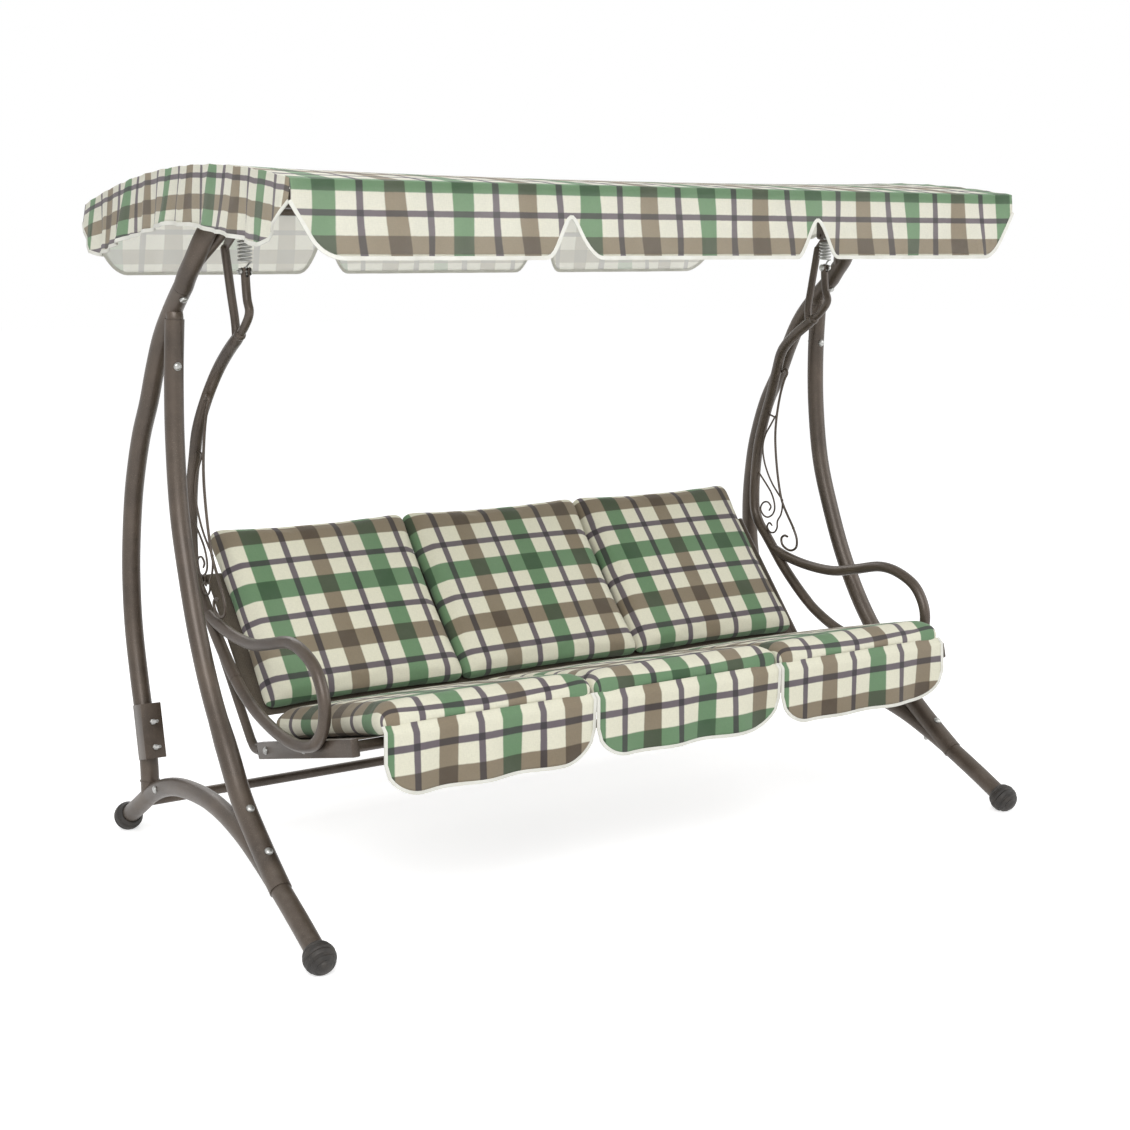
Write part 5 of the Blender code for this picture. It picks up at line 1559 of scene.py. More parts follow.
@dataclass
class SeatFrame:
    """The rails, uprights, cross bars and slings of the seat."""

    rail_height: float = 0.040
    rail_thickness: float = 0.020
    arm_radius: float = 0.0145
    upright_radius: float = 0.0110
    upright_length: float = 0.490
    corner_radius: float = 0.030
    corner_share: float = 0.25
    sling_half_width: float = 0.838
    back_start: float = 0.085
    sling_sag: float = 0.004
    sling_wall: float = 0.0016
    rail_bolts: tuple = (0.10, 0.52)

    def build(self) -> tuple[Bolts, Bolts]:
        """Build and dress the seat's frame; return the places of its bolt heads and nuts."""
        side_x = CHAIR.arm_half_width - self.arm_radius - CHAIR.gap
        rail_x, upright_x = side_x - self.rail_thickness / 2, side_x - self.upright_radius
        rail_start = self.corner_radius + self.upright_radius
        half_long = (CHAIR.seat_depth - rail_start) / 2
        heads, nuts = [], []
        for side in Side:
            sign, label = side.value, side.label
            middle = CHAIR.corner(sign * rail_x) + CHAIR.rail * (
                rail_start + CHAIR.seat_depth) / 2
            place = axes(middle, CHAIR.rail, CHAIR.seat_up, CHAIR.rail.cross(CHAIR.seat_up))
            stand_in(f"seat_rail_{label}", "eased", [
                SHOP.plate(rectangle(half_long, self.rail_height / 2), self.rail_thickness, place,
                           0.0035)], Body.SEAT)
            corner = CHAIR.corner(sign * upright_x)
            bend = curve_through([
                corner + CHAIR.rail * self.corner_radius,
                corner + (CHAIR.rail + CHAIR.back) * self.corner_radius * self.corner_share,
                corner + CHAIR.back * self.corner_radius], 8)
            foot = corner + CHAIR.rail * (rail_start - CHAIR.gap)
            rise = [foot] + bend + [corner + CHAIR.back * self.upright_length]
            stand_in(f"back_upright_{label}", "smooth", [
                SHOP.sweep(rise, self.upright_radius, 24)], Body.SEAT)
            outward = X_AXIS * sign
            for share in self.rail_bolts:
                at = middle + CHAIR.rail * half_long * (2 * share - 1)
                heads.append((at + outward * (self.rail_thickness / 2), outward))
                nuts.append((at - outward * (self.rail_thickness / 2), -outward))
        rail_inner = rail_x - self.rail_thickness / 2 - CHAIR.gap
        bar_end = upright_x - self.upright_radius - CHAIR.gap
        front = CHAIR.rail * (CHAIR.seat_depth - self.rail_height)
        rear = CHAIR.rail * self.corner_radius
        top = CHAIR.back * (self.upright_length - CHAIR.bar_radius)
        for name, half, offset in (("seat_front_bar", rail_inner, front),
                                   ("seat_rear_bar", bar_end, rear),
                                   ("back_top_bar", bar_end, top)):
            ends = [CHAIR.corner(side.value * half) + offset for side in Side]
            stand_in(name, "smooth", [
                SHOP.sweep(straight(*ends, 8), CHAIR.bar_radius, 24)], Body.SEAT)
        self.stretch("seat_sling", rear, front, CHAIR.seat_up)
        self.stretch("back_sling", CHAIR.back * self.back_start, top, CHAIR.back_out)
        return heads, nuts

    def stretch(self, name: str, start: Vector, end: Vector, normal: Vector) -> None:
        """Stretch one woven sling between its bars.

        Args:
            name: The sling's node.
            start: From the seat's corner to its one edge.
            end: From the seat's corner to its other edge.
            normal: The direction that it faces.
        """
        run = (end - start).length + CHAIR.bar_radius
        way = (end - start).normalized()
        lift = CHAIR.bar_radius + CHAIR.gap + CHAIR.sling_thickness / 2
        middle = CHAIR.corner(0) + (start + end) / 2 + normal * lift
        half = self.sling_half_width

        def lay(across: float, share: float) -> tuple[Vector, tuple[float, float]]:
            """Return a point of the sagging sling and its place on the cloth."""
            along = 2 * share - 1
            sag = self.sling_sag * (1 - across ** 6) * (1 - along ** 2)
            place = middle + X_AXIS * (across * half) + way * run / 2 * along - normal * sag
            return place, ((across + 1) * half, share * run)

        mesh = SHOP.weave(60, 24, lay, SLING)[0]
        sling = stand_in(name, "woven", [SHOP.thicken(mesh, self.sling_wall)], Body.SEAT,
                         Slot.SLING)


@dataclass
class Cushions:
    """The three seat cushions with their front flaps, and the three back cushions."""

    half_width: float = 0.812
    joint: float = 0.0012
    seat_depth: float = 0.570
    seat_height: float = 0.065
    seat_rear: float = 0.020
    back_length: float = 0.500
    back_height: float = 0.056
    back_start: float = 0.085
    crown: float = 0.014
    draw: float = 0.007
    flap_drop: float = 0.150
    flap_gap: float = 0.014
    flap_height_share: float = 0.30
    voxel: float = 0.0065
    swell: float = 0.011
    flap_tuck: float = 0.004
    flap_reach: float = 0.012
    flap_corner: float = 0.085
    flap_corner_share: float = 0.80
    flap_green: float = 0.31
    tape_width: float = 0.007
    flap_waves: tuple = ((0.006, 3 * math.pi, 0.8, 0.0), (0.003, 7.3, 2.0, 1.0))
    flap_ease: float = 0.16
    back_green_drop: float = 0.205
    wrap: float = 0.02
    frames: int = 20
    columns: tuple = (-0.5, -0.40, 0.0, 0.40, 0.5)
    rows: tuple = (0.0, 0.10, 0.5, 0.90, 1.0)

    @property
    def pitch(self) -> float:
        """Return the distance from one cushion to the next."""
        return 2 * self.half_width / 3

    def cage(self, width: float, length: float, height: float) -> bmesh.types.BMesh:
        """Return a cushion's coarse cage, lying on z = 0, crowned and drawn in."""
        shape = bmesh.new()

        def layer(level: float, crown: float) -> dict:
            """Add one grid of cage points at a height."""
            points = {}
            for i, column in enumerate(self.columns):
                for j, row in enumerate(self.rows):
                    middle = (1 - (2 * column) ** 2) * (1 - (2 * row - 1) ** 2)
                    x, y = column * width, row * length
                    if i == 2 and j in (0, 4):
                        y += self.draw if j == 0 else -self.draw
                    if j == 2 and i in (0, 4):
                        x += self.draw if i == 0 else -self.draw
                    points[i, j] = shape.verts.new((x, y, level + crown * middle))
            return points

        bottom, top = layer(0.0, 0.0), layer(height, self.crown)
        last = len(self.columns) - 1
        for i in range(last):
            for j in range(last):
                cell = [(i, j), (i + 1, j), (i + 1, j + 1), (i, j + 1)]
                shape.faces.new([top[key] for key in cell])
                shape.faces.new([bottom[key] for key in reversed(cell)])
        ring = [(i, 0) for i in range(last)] + [(last, j) for j in range(last)]
        ring += [(i, last) for i in range(last, 0, -1)] + [(0, j) for j in range(last, 0, -1)]
        for index, key in enumerate(ring):
            after = ring[(index + 1) % len(ring)]
            shape.faces.new([bottom[key], bottom[after], top[after], top[key]])
        bmesh.ops.recalc_face_normals(shape, faces=shape.faces)
        return shape

    def stuff(self, width: float, length: float, height: float, cap: float) -> Mesh:
        """Make one stuffed cushion by blowing up a sewn shell of cloth.

        Args:
            width: The cushion's width.
            length: Its length.
            height: Its height at the sides.
            cap: How far any point may move.

        Returns:
            The cushion's mesh, lying on z = 0.
        """
        obj = bpy.data.objects.new("pad", SHOP.to_mesh(self.cage(width, length, height), TAPE))
        soft = obj.modifiers.new("soft", "SUBSURF")
        soft.levels = soft.render_levels = 3
        even = obj.modifiers.new("even", "REMESH")
        even.mode = "VOXEL"
        even.voxel_size = self.voxel
        mesh = SHOP.settle(obj)
        rest = np.empty(len(mesh.vertices) * 3)
        mesh.vertices.foreach_get("co", rest)
        rest = rest.reshape(-1, 3)
        moved = self.inflate(mesh)
        shift = moved - rest
        far = np.linalg.norm(shift, axis=1, keepdims=True)
        shift *= np.minimum(1.0, cap / np.maximum(far, 1e-9))
        placed = rest + shift
        placed[:, 2] = np.maximum(placed[:, 2], 0.0)
        placed[:, 2] *= min(1.0, (height + self.crown) / placed[:, 2].max())
        for axis, low, size in ((0, -width / 2, width), (1, 0.0, length)):
            least, most = placed[:, axis].min(), placed[:, axis].max()
            placed[:, axis] = low + (placed[:, axis] - least) * size / (most - least)
        mesh.vertices.foreach_set("co", placed.ravel())
        obj = bpy.data.objects.new("pad", mesh)
        calm = obj.modifiers.new("calm", "SMOOTH")
        calm.factor, calm.iterations = 0.5, 3
        fine = obj.modifiers.new("fine", "SUBSURF")
        fine.levels = fine.render_levels = 1
        return SHOP.settle(obj)

    def inflate(self, mesh: Mesh) -> np.ndarray:
        """Return the places of a shell's points after air has filled it."""
        obj = bpy.data.objects.new("shell", mesh.copy())
        scene = bpy.context.scene
        scene.collection.objects.link(obj)
        cloth = obj.modifiers.new("cloth", "CLOTH")
        settings = cloth.settings
        settings.quality = 4
        settings.use_pressure = True
        settings.uniform_pressure_force = 4.0
        settings.effector_weights.gravity = 0.0
        settings.shrink_min = -0.01
        settings.tension_stiffness = settings.compression_stiffness = 25.0
        settings.bending_stiffness = 0.8
        for span in (scene, cloth.point_cache):
            span.frame_start, span.frame_end = 1, self.frames
        for step in range(1, self.frames + 1):
            scene.frame_set(step)
        ready = obj.evaluated_get(bpy.context.evaluated_depsgraph_get())
        result = np.empty(len(ready.data.vertices) * 3)
        ready.data.vertices.foreach_get("co", result)
        bpy.data.objects.remove(obj)
        scene.frame_set(1)
        return result.reshape(-1, 3)

    def chart(self, mesh: Mesh, width: float, height: float, front: float) -> None:
        """Give a cushion its cloth map, in metres, wrapped down over its sides.

        Args:
            mesh: The cushion, lying on z = 0 with its sides along X and Y.
            width: The cushion's width.
            height: The height of its top edge.
            front: The Y of its front edge.
        """
        layer = mesh.uv_layers.new(name="cloth")
        count = len(mesh.vertices)
        co = np.empty(count * 3)
        mesh.vertices.foreach_get("co", co)
        co = co.reshape(-1, 3)
        x, y, z = co.T
        below = np.clip(height - z, 0, None)
        edge_x = np.clip((np.abs(x) - (width / 2 - self.wrap)) / self.wrap, 0, 1)
        u = x + width / 2 + np.sign(x) * below * edge_x
        near = np.clip((self.wrap - y) / self.wrap, 0, 1)
        far = np.clip((y - (front - self.wrap)) / self.wrap, 0, 1)
        v = y - below * near + below * far
        corners = np.empty(len(mesh.loops), dtype=np.int32)
        mesh.loops.foreach_get("vertex_index", corners)
        flat = np.stack([u[corners], v[corners]], axis=1)
        layer.data.foreach_set("uv", flat.ravel())

    def build(self) -> None:
        """Build and dress every cushion and flap."""
        width = self.pitch - self.joint
        lift = CHAIR.bar_radius + CHAIR.sling_thickness + 3 * CHAIR.gap
        seat_pad = self.stuff(width, self.seat_depth, self.seat_height, self.swell)
        back_pad = self.stuff(width, self.back_length, self.back_height, self.swell)
        seat_green = {Section.LEFT: (0.18, 0.495), Section.MIDDLE: (0.25, 0.60),
                      Section.RIGHT: (0.18, 0.495)}
        back_green = {Section.LEFT: 0.088, Section.MIDDLE: 0.308, Section.RIGHT: 0.096}
        for section in Section:
            x, label = section.value * self.pitch, section.label
            along, across = seat_green[section]
            cloth = PlaidCloth(f"plaid_seat_{label}", width - along, across).make()
            start = CHAIR.corner(x) + CHAIR.rail * self.seat_rear + CHAIR.seat_up * lift
            frame_at = axes(start, -X_AXIS, CHAIR.rail, CHAIR.seat_up)
            cushion = self.place_pad(f"seat_cushion_{label}_stuffed", seat_pad, width,
                                     self.seat_height, self.seat_depth, frame_at, cloth)
            dress(cushion, Body.SEAT, Slot.CUSHION, f"seat_cushion_{label}")
            self.build_flap(section, start)

            cloth = PlaidCloth(f"plaid_back_{label}", back_green[section],
                               self.back_length - self.back_green_drop).make()
            start = CHAIR.corner(x) + CHAIR.back * self.back_start + CHAIR.back_out * lift
            frame_at = axes(start, X_AXIS, CHAIR.back, CHAIR.back_out)
            cushion = self.place_pad(f"back_cushion_{label}_stuffed", back_pad, width,
                                     self.back_height, self.back_length, frame_at, cloth)
            dress(cushion, Body.SEAT, Slot.CUSHION, f"back_cushion_{label}")

    def place_pad(self, name: str, pad: Mesh, width: float, height: float,
                  front: float, frame_at: Matrix, cloth: Material
                  ) -> bpy.types.Object:
        """Copy a stuffed pad to its place with its own cloth.

        Args:
            name: The piece's name.
            pad: The stuffed pad.
            width: The cushion's width.
            height: The height of its top edge.
            front: The Y of its far edge.
            frame_at: Its frame.
            cloth: Its material.

        Returns:
            The placed cushion.
        """
        mesh = pad.copy()
        self.chart(mesh, width, height, front)
        mesh.materials.clear()
        mesh.materials.append(cloth)
        mesh.transform(frame_at)
        if frame_at.determinant() < 0:
            mesh.flip_normals()
        mesh.name = name
        mesh.shade_smooth()
        obj = bpy.data.objects.new(name, mesh)
        bpy.context.scene.collection.objects.link(obj)
        return obj

    def build_flap(self, section: Section, start: Vector) -> None:
        """Hang the cloth flap at the front of one seat cushion, bound in white.

        Args:
            section: The cushion's place in the row.
            start: The rear lower edge of its cushion.
        """
        label, turn = section.label, section.value
        width = self.pitch - self.joint - self.flap_gap
        corner = self.flap_corner
        edge = (start + CHAIR.rail * self.seat_depth
                + CHAIR.seat_up * self.seat_height * self.flap_height_share)
        edge.y += self.flap_tuck

        def lay(across: float, share: float) -> tuple[Vector, tuple[float, float]]:
            """Return a point of the hanging flap and its place on the cloth."""
            inset = abs(across) * width / 2 - (width / 2 - corner)
            drop = self.flap_drop
            if inset > 0:
                drop -= corner * self.flap_corner_share * (
                    1 - math.sqrt(max(0.0, 1 - (inset / corner) ** 2)))
            wave = sum(size * share * math.sin(rate * across + shift * turn + start)
                       for size, rate, shift, start in self.flap_waves)
            out = min(1.0, share / self.flap_ease)
            bulge = -self.flap_reach * out * out * (3 - 2 * out)
            point = edge + Vector((across * width / 2, wave + bulge, -drop * share))
            return point, ((across + 1) * width / 2, drop * share)

        down_green = 0.1325 if section is Section.MIDDLE else -0.0275
        cloth = PlaidCloth(f"plaid_flap_{label}", self.flap_green, down_green).make()
        mesh, area, places = SHOP.weave(64, 22, lay, cloth, True)
        rim = [line[0] for line in places] + places[-1][1:] + [
            line[-1] for line in reversed(places[:-1])]
        flap = SHOP.merge(f"seat_flap_{label}", [SHOP.thicken(mesh, 0.0014)])
        dress(flap, Body.SEAT, Slot.CUSHION)
        tape = SHOP.merge(f"seat_flap_tape_{label}", [binding(rim, -Y_AXIS, self.tape_width)])
        dress(tape, Body.SEAT, Slot.CUSHION)
        min(area, width * self.flap_drop)


def binding(rim: Points, outward: Vector, width: float,
            thickness: float = 0.0026, fold: float = 0.0016) -> Mesh:
    """Fold a white tape over a hem.

    Args:
        rim: The hem's line.
        outward: The direction that the cloth's face looks.
        width: How far the tape reaches in from the hem.
        thickness: The tape's thickness over the cloth.
        fold: How far its fold stands out past the hem.

    Returns:
        The tape's mesh, closed at both ends.
    """
    shape = bmesh.new()
    sections = []
    for index, point in enumerate(rim):
        before, after = rim[max(index - 1, 0)], rim[min(index + 1, len(rim) - 1)]
        along = (after - before).normalized()
        inward = along.cross(outward).normalized()
        face = inward.cross(along).normalized()
        half = face * thickness / 2
        corners = [point + inward * width + half, point - inward * fold / 2 + half,
                   point - inward * fold, point - inward * fold / 2 - half,
                   point + inward * width - half]
        sections.append([shape.verts.new(corner) for corner in corners])
    count = len(sections[0])
    for first, second in zip(sections, sections[1:]):
        for step in range(count):
            after = (step + 1) % count
            shape.faces.new([first[step], first[after], second[after], second[step]])
    shape.faces.new(list(reversed(sections[0])))
    shape.faces.new(sections[-1])
    bmesh.ops.recalc_face_normals(shape, faces=shape.faces)
    return SHOP.to_mesh(shape, TAPE)


@dataclass
class Canopy:
    """The arched cloth canopy with a valance on every side, and the bars under it."""

    half_width: float = 0.997
    front_y: float = -0.553
    rear_y: float = 0.631
    front_z: float = 1.601
    rear_z: float = 1.567
    arch: float = 0.055
    sag_share: float = 0.25
    cloth: float = 0.002
    flare: float = 0.018
    front_drop: float = 0.150
    rear_drop: float = 0.166
    side_drop: float = 0.118
    corner_drop: float = 0.042
    notch_x: float = 0.345
    notch_half_width: float = 0.078
    notch_drop: float = 0.064
    notch_power: float = 2.6
    end_share: float = 0.11
    fold: float = 0.0055
    edge_ripple: float = 0.003
    fold_rates: tuple = (23, 51, 93)
    pleat_rate: float = 88
    sway_rate: float = 19
    ripple_rates: tuple = (67, 118)
    cloth_wall: float = 0.0012
    seam: float = 0.03
    bar_radius: float = 0.0100
    bar_clearance: float = 0.0006
    arch_inset: float = 0.024
    support_x: float = 0.70
    clamp_wall: float = 0.004
    clamp_width: float = 0.034
    top_columns: int = 240
    top_rows: int = 60
    drop_rows: int = 16
    rows: tuple = (0.0, 0.07, 0.24, 0.44, 0.64, 0.84, 1.0)
    bar_steps: int = 8
    tape_width: float = 0.007
    column_green: float = 0.0185
    column_pitch: float = 0.3147
    valance_green: float = 0.002

    @property
    def depth(self) -> float:
        """Return the canopy's depth from front to rear."""
        return self.rear_y - self.front_y

    def top(self, x: float, y: float) -> float:
        """Return the height of the top cloth at a place."""
        share = (y - self.front_y) / self.depth
        edge = self.front_z + (self.rear_z - self.front_z) * share
        arch = self.arch * 4 * share * (1 - share)
        return edge + arch * (1 - self.sag_share * (1 - (x / self.half_width) ** 2))

    def ripple(self, x: float, y: float) -> float:
        """Return how far the gathered cloth rises near a side edge."""
        near = (abs(x) / self.half_width) ** 14
        slow, fast = self.ripple_rates
        wave = math.sin(y * slow) + 0.6 * math.sin(y * fast + 1.3)
        return self.edge_ripple * near * max(0.0, 0.5 + 0.31 * wave)

    def hem(self, x: float, full: float) -> float:
        """Return how far a front or rear hem hangs at this X."""
        off = (abs(x) - self.notch_x) / self.notch_half_width
        drop = full
        if abs(off) < 1:
            drop = full - (full - self.notch_drop) * math.cos(off * math.pi / 2) ** self.notch_power
        from_corner = (self.half_width - abs(x)) / (self.half_width * self.end_share)
        if from_corner < 1:
            drop = self.corner_drop + (full - self.corner_drop) * math.sin(
                from_corner * math.pi / 2)
        return drop

    def side_hem(self, y: float) -> float:
        """Return how far a side hem hangs at this Y."""
        share = (y - self.front_y) / self.depth
        bow = abs(2 * share - 1)
        end = min(share, 1 - share) / self.end_share
        full = self.side_drop + (self.front_drop - self.side_drop) * bow
        return self.corner_drop + (full - self.corner_drop) * math.sin(
            min(1, end) * math.pi / 2)

    def build(self) -> None:
        """Build and dress the cloth, its tapes and the bars."""
        self.build_cloth()
        self.build_bars()

    def build_cloth(self) -> None:
        """Make the top and the four valances as one sheet whose inside is painted paler and faintly
        glowing, a painted light coming through the cloth.
        """
        shape = bmesh.new()
        chart = shape.loops.layers.uv.new("cloth")
        last_i, last_j = self.top_columns, self.top_rows
        xs = [self.half_width * (2 * i / last_i - 1) for i in range(last_i + 1)]
        ys = [self.front_y + self.depth * j / last_j for j in range(last_j + 1)]
        grid = [[shape.verts.new((x, y, self.top(x, y) + self.ripple(x, y))) for x in xs]
                for y in ys]

        def paint(face: bmesh.types.BMFace, flats: Sequence[tuple[float, float]],
                  index: int) -> None:
            """Give one face its place on the cloth and its material."""
            for loop, flat in zip(face.loops, flats):
                loop[chart].uv = flat
            face.material_index = index

        for j in range(last_j):
            for i in range(last_i):
                keys = ((i, j), (i + 1, j), (i + 1, j + 1), (i, j + 1))
                face = shape.faces.new([grid[b][a] for a, b in keys])
                paint(face, [(xs[a], ys[b] - self.front_y) for a, b in keys], 0)
        edges = (
            ([(i, 0) for i in range(last_i + 1)], -Y_AXIS,
             lambda p: self.hem(p.x, self.front_drop), lambda p: p.x),
            ([(i, last_j) for i in range(last_i, -1, -1)], Y_AXIS,
             lambda p: self.hem(p.x, self.rear_drop), lambda p: -p.x),
            ([(0, j) for j in range(last_j, -1, -1)], -X_AXIS,
             lambda p: self.side_hem(p.y), lambda p: -p.y),
            ([(last_i, j) for j in range(last_j + 1)], X_AXIS,
             lambda p: self.side_hem(p.y), lambda p: p.y))
        rims = [self.hang(shape, grid, *edge, paint, number)
                for number, edge in enumerate(edges, 1)]
        area = sum(face.calc_area() for face in shape.faces)
        green, pitch, low = self.column_green, self.column_pitch, self.valance_green
        faces = [
            PlaidCloth("plaid_canopy_top", green, -low, pitch, thin=0.5),
            PlaidCloth("plaid_valance_front", green, low, pitch, 0.25, thin=0.5),
            PlaidCloth("plaid_valance_rear", -green, low, pitch, 0.25, thin=0.5),
            PlaidCloth("plaid_valance_left", 0.43, -0.033, 0.25, 0.22, thin=0.5),
            PlaidCloth("plaid_valance_right", 0.43, -0.033, 0.25, 0.22, thin=0.5)]
        # The inside copies are painted paler and glow: painted light coming through the cloth.
        backs = [replace(item, name=item.name + "_back", fade=0.56, shine_through=0.22)
                 for item in faces]
        mesh = SHOP.to_mesh(shape, faces[0].make(), False)
        for item in faces[1:] + backs:
            mesh.materials.append(item.make())
        mesh.shade_smooth()
        mesh.set_sharp_from_angle(angle=math.radians(50))
        cover = stand_in("canopy_cover", "plaid", [
            SHOP.thicken(mesh, self.cloth_wall, -1, len(faces))], Body.FRAME, Slot.CANOPY)
        tapes = SHOP.merge("canopy_hem_tape", [
            binding(rim, outward, self.tape_width) for rim, outward in rims])
        dress(tapes, Body.FRAME, Slot.CANOPY)

    def hang(self, shape: bmesh.types.BMesh, grid: list, keys: Sequence[tuple[int, int]],
             outward: Vector, drop_at: Callable, along_at: Callable, paint: Callable,
             index: int) -> tuple[list[Vector], Vector]:
        """Hang one valance from a run of the top's edge points.

        Args:
            shape: The cloth so far.
            grid: The top's points by row and column.
            keys: The edge points that the valance hangs from.
            outward: The direction that the valance's face looks.
            drop_at: Returns how far the hem hangs under a point.
            along_at: Returns a point's place along the cloth.
            paint: Gives a face its map and material.
            index: The valance's material.

        Returns:
            The hem's line and the outward direction.
        """
        rows = [[grid[b][a] for a, b in keys]]
        drops = [drop_at(vertex.co) for vertex in rows[0]]
        places = [along_at(vertex.co) for vertex in rows[0]]
        sideways = Z_AXIS.cross(outward)
        wide, middle, tight = self.fold_rates
        for step in range(1, self.drop_rows + 1):
            share = step / self.drop_rows
            line = []
            for vertex, drop, place in zip(rows[0], drops, places):
                swell = self.fold * share * (
                    math.sin(place * wide + index) + 0.8 * math.sin(place * middle + 2 * index)
                    + 0.3 * math.sin(place * tight + 3 * share))
                if index > 2:
                    swell += self.fold * share ** 0.6 * 0.9 * math.sin(place * self.pleat_rate)
                out = self.flare * share * drop / self.front_drop
                out += swell * min(1.0, drop / self.side_drop)
                sway = self.fold * share * math.sin(
                    2.6 * share + place * self.sway_rate + index)
                line.append(shape.verts.new(
                    vertex.co + outward * out + sideways * sway * min(1.0, drop / self.side_drop)
                    - Z_AXIS * (drop * share)))
            rows.append(line)
        for j, (upper, lower) in enumerate(zip(rows, rows[1:])):
            for i in range(len(keys) - 1):
                corners = ((i, j), (i, j + 1), (i + 1, j + 1), (i + 1, j))
                face = shape.faces.new([upper[i], lower[i], lower[i + 1], upper[i + 1]])
                paint(face, [(places[a], drops[a] * b / self.drop_rows)
                             for a, b in corners], index)
        return [vertex.co.copy() for vertex in rows[-1]], outward

    def below(self, x: float, y: float) -> float:
        """Return the centre height of a bar that just clears the cloth above it."""
        lines = [self.front_y + self.depth * share for share in self.rows]
        after = next(index for index, line in enumerate(lines) if line >= y)
        low, high = lines[after - 1], lines[after]
        share = (y - low) / (high - low)
        cloth = self.top(x, low) + (self.top(x, high) - self.top(x, low)) * share
        return cloth - self.cloth - self.bar_radius - self.bar_clearance

    def build_bars(self) -> None:
        """Make the front and rear bars, the side arches and the clamped supports."""
        inset = self.cloth + self.bar_radius + self.bar_clearance
        bars = {"front": self.front_y + inset, "rear": self.rear_y - inset}
        reach = self.half_width - inset
        for label, y in bars.items():
            points = [Vector((x, y, self.below(x, y))) for x in (
                reach * (2 * step / self.bar_steps - 1) for step in range(self.bar_steps + 1))]
            stand_in(f"canopy_{label}_bar", "smooth", [
                SHOP.sweep(curve_through(points, 4), self.bar_radius, 22)], Body.FRAME)
        depths = [bars["front"] + self.bar_radius / 2]
        depths += [self.front_y + self.depth * share for share in self.rows[1:-1]]
        depths += [bars["rear"] - self.bar_radius / 2]
        for side in Side:
            for name, x in (("side", side.value * (self.half_width - self.arch_inset)),
                            ("support", side.value * self.support_x)):
                points = [Vector((x, y, self.below(x, y))) for y in depths]
                meshes = [SHOP.sweep(points, self.bar_radius, 22)]
                if name == "support":
                    meshes += self.clamp(x, points)
                stand_in(f"canopy_{name}_{side.label}", "smooth", meshes, Body.FRAME)

    def clamp(self, x: float, points: Points) -> list[Mesh]:
        """Return the ring and the post that hold a support on the top beam."""
        inner = CHAIR.tube_radius + CHAIR.gap
        outer = CHAIR.tube_radius + self.clamp_wall
        start = Vector((x - self.clamp_width / 2, CHAIR.beam_y, CHAIR.beam_height))
        ease, wide = 0.0008, self.clamp_width
        profile = [
            (inner, ease), (inner + ease, 0), (outer - ease, 0), (outer, ease),
            (outer, wide - ease), (outer - ease, wide), (inner + ease, wide),
            (inner, wide - ease), (inner, ease)]
        ring = SHOP.lathe(profile, aim(start, start + X_AXIS), 40, PAINT)
        over = min(points, key=lambda point: abs(point.y - CHAIR.beam_y))
        low = CHAIR.beam_height + CHAIR.tube_radius + self.clamp_wall / 2
        middle = Vector((x, CHAIR.beam_y, (over.z + low) / 2))
        place = axes(middle, X_AXIS, Z_AXIS, -Y_AXIS)
        post = SHOP.plate(rectangle(wide / 4, (over.z - low) / 2), wide / 2, place, 0.0012)
        return [ring, post]


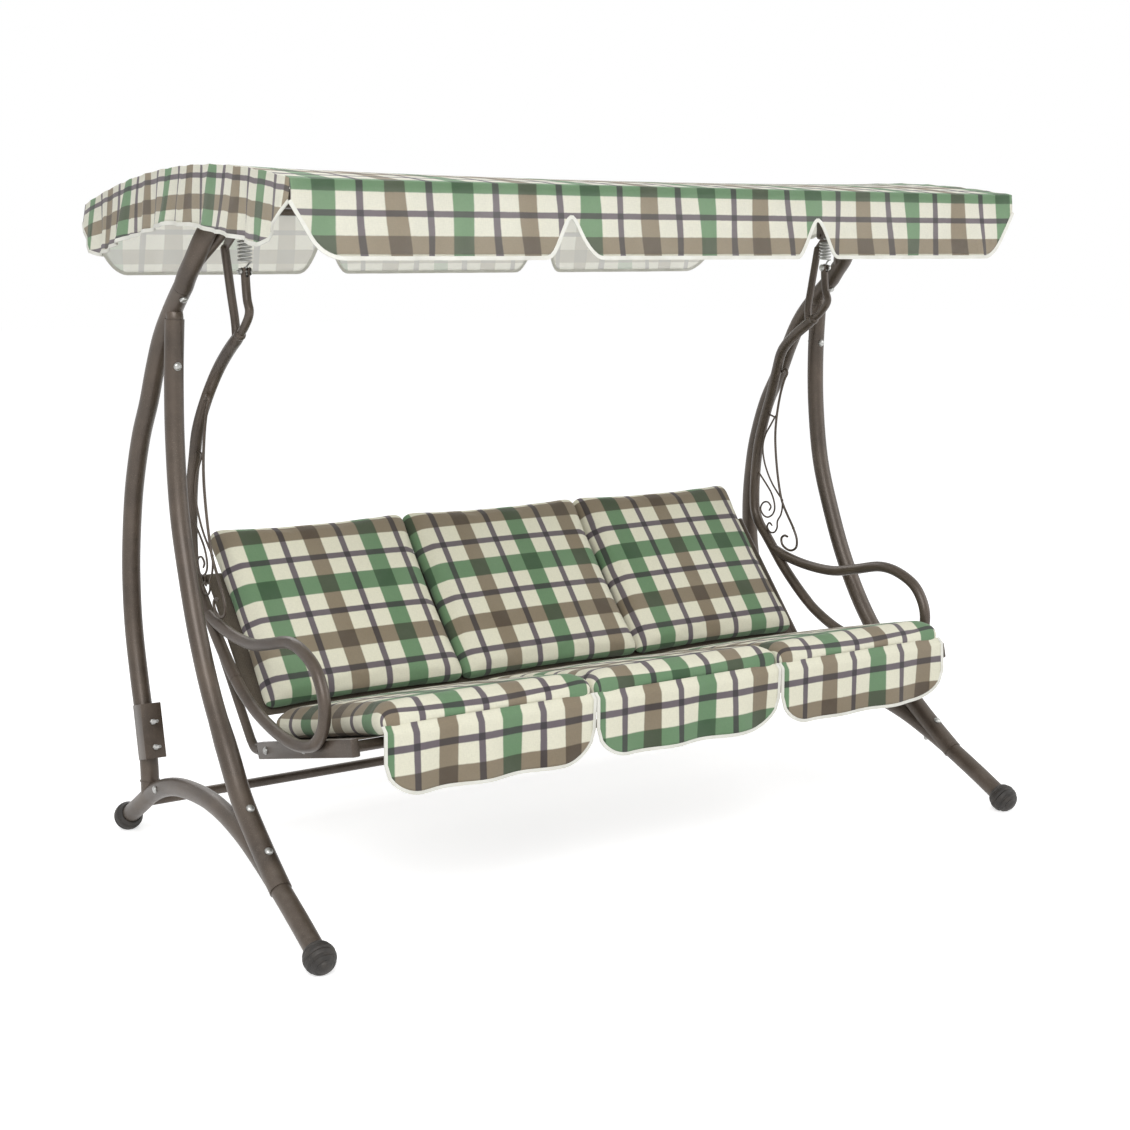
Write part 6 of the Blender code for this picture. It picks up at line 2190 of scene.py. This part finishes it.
@dataclass
class Studio:
    """The camera at the photograph's view, soft lights and a pale floor."""

    azimuth: float = math.radians(33.51)
    pitch: float = math.radians(10.18)
    roll: float = math.radians(0.22)
    place: tuple = (-2.516, -3.817, 1.484)
    lens: float = 57.50
    floor_size: float = 26.0
    glow: float = 0.58
    soft_light: float = 0.53

    def build_camera(self) -> None:
        """Create the camera and make it the scene's own."""
        data = bpy.data.cameras.new("camera")
        data.lens = self.lens
        data.sensor_width = 36.0
        data.clip_end = 60.0
        view = Vector((math.sin(self.azimuth) * math.cos(self.pitch),
                       math.cos(self.azimuth) * math.cos(self.pitch), -math.sin(self.pitch)))
        level = Vector((math.cos(self.azimuth), -math.sin(self.azimuth), 0))
        upright = level.cross(view)
        across = level * math.cos(self.roll) + upright * math.sin(self.roll)
        upward = upright * math.cos(self.roll) - level * math.sin(self.roll)
        camera = self.hang(data, axes(Vector(self.place), across, upward, -view))
        bpy.context.scene.camera = camera

    @staticmethod
    def hang(data: bpy.types.ID, place: Matrix) -> bpy.types.Object:
        """Put a camera, a lamp or the floor in the scene and return its object."""
        obj = bpy.data.objects.new(data.name, data)
        obj.matrix_world = place
        bpy.context.scene.collection.objects.link(obj)
        return obj

    @staticmethod
    def seen(board: Board) -> Socket:
        """Return 1 where the camera sees a surface, also in a mirror or through glass."""
        path = board.add("ShaderNodeLightPath").outputs
        seen = board.maths("MAXIMUM", path["Is Camera Ray"], path["Is Glossy Ray"])
        return board.maths("MAXIMUM", seen, path["Is Transmission Ray"])

    def build_lights(self) -> None:
        """Hang a large key light, a fill and a rear light, and set the world's glow."""
        for name, place, power, target in (
                ("key", (-3.2, -3.8, 3.9), 175.0, (0, 0, 0.8)),
                ("fill", (3.8, -2.6, 2.6), 60.0, (0, 0, 0.7)),
                ("rear", (0.4, 4.2, 3.8), 55.0, (0, 0, 0.9))):
            data = bpy.data.lights.new(name, "AREA")
            data.shape, data.size, data.energy = "SQUARE", 3.0, power
            turn = (Vector(target) - Vector(place)).to_track_quat("-Z", "Y")
            self.hang(data, Matrix.Translation(place) @ turn.to_matrix().to_4x4())
        world = bpy.data.worlds.new("studio")
        world.use_nodes = True
        bpy.context.scene.world = world
        board = Board(world.node_tree)
        strength = board.add("ShaderNodeMix", {0: self.seen(board), 2: self.soft_light, 3: 1.0})
        board.fill(world.node_tree.nodes["Background"], {
            "Color": WHITE, "Strength": strength.outputs[0]})

    def build_floor(self) -> None:
        """Lay the pale floor, which keeps the chair's soft shadow."""
        shape = bmesh.new()
        bmesh.ops.create_grid(shape, x_segments=1, y_segments=1, size=self.floor_size)
        finish = Finish("pale_floor")
        glow = finish.board.maths("MULTIPLY", self.seen(finish.board), self.glow)
        mesh = SHOP.to_mesh(shape, finish.done({
            "Base Color": grey(0.86)[:3] + (1.0,), "Roughness": 0.9, "Specular IOR Level": 0.0,
            "Emission Strength": glow, "Emission Color": WHITE}), False)
        mesh.name = "floor"
        self.hang(mesh, Matrix.Translation((0, 0, -0.0005)))

    def build(self) -> None:
        """Build the whole studio."""
        self.build_camera()
        self.build_lights()
        self.build_floor()
        bpy.context.scene.view_settings.view_transform = "Standard"


def set_fasteners(name: str, body: Body, heads: Bolts, nuts: Bolts, *nodes: str) -> None:
    """Put every bolt head and nut of one body in place as one piece.

    Args:
        name: The piece's name.
        body: The body that carries them.
        heads: Places and directions of the heads.
        nuts: Places and directions of the nuts.
        *nodes: The nodes that the piece stands for.
    """
    fasteners = Fasteners()
    obj = SHOP.merge(name, [SHOP.scatter(fasteners.dome_head(), heads),
                            SHOP.scatter(fasteners.hex_nut(), nuts)])
    dress(obj, body, Slot.ZINC, *nodes)


def main() -> None:
    """Build the chair's pieces in order and report each one."""
    logging.basicConfig(level=logging.INFO, format="%(name)s: %(message)s")
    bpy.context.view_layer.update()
    Studio().build()
    heads: Bolts = []
    nuts: Bolts = []
    for side in Side:
        side_frame = SideFrame(side)
        side_frame.build()
        Hanger(side, side_frame.elbow_bends()).build()
        heads += side_frame.heads
        nuts += side_frame.nuts
    TopBeam().build()
    frame_bolts = [f"{name}_{side.label}" for side in Side for name in (
        "leg_bolt_upper", "leg_bolt_lower", "stub_bolt", "elbow_bolt")]
    set_fasteners("frame_bolts", Body.FRAME, heads, nuts, *frame_bolts)
    heads, nuts = SeatFrame().build()
    for side in Side:
        more_heads, more_nuts = SwingArm(side).build()
        heads += more_heads
        nuts += more_nuts
    set_fasteners("seat_bolts", Body.SEAT, heads, nuts)
    Cushions().build()
    Canopy().build()


if __name__ == "__main__":
    main()
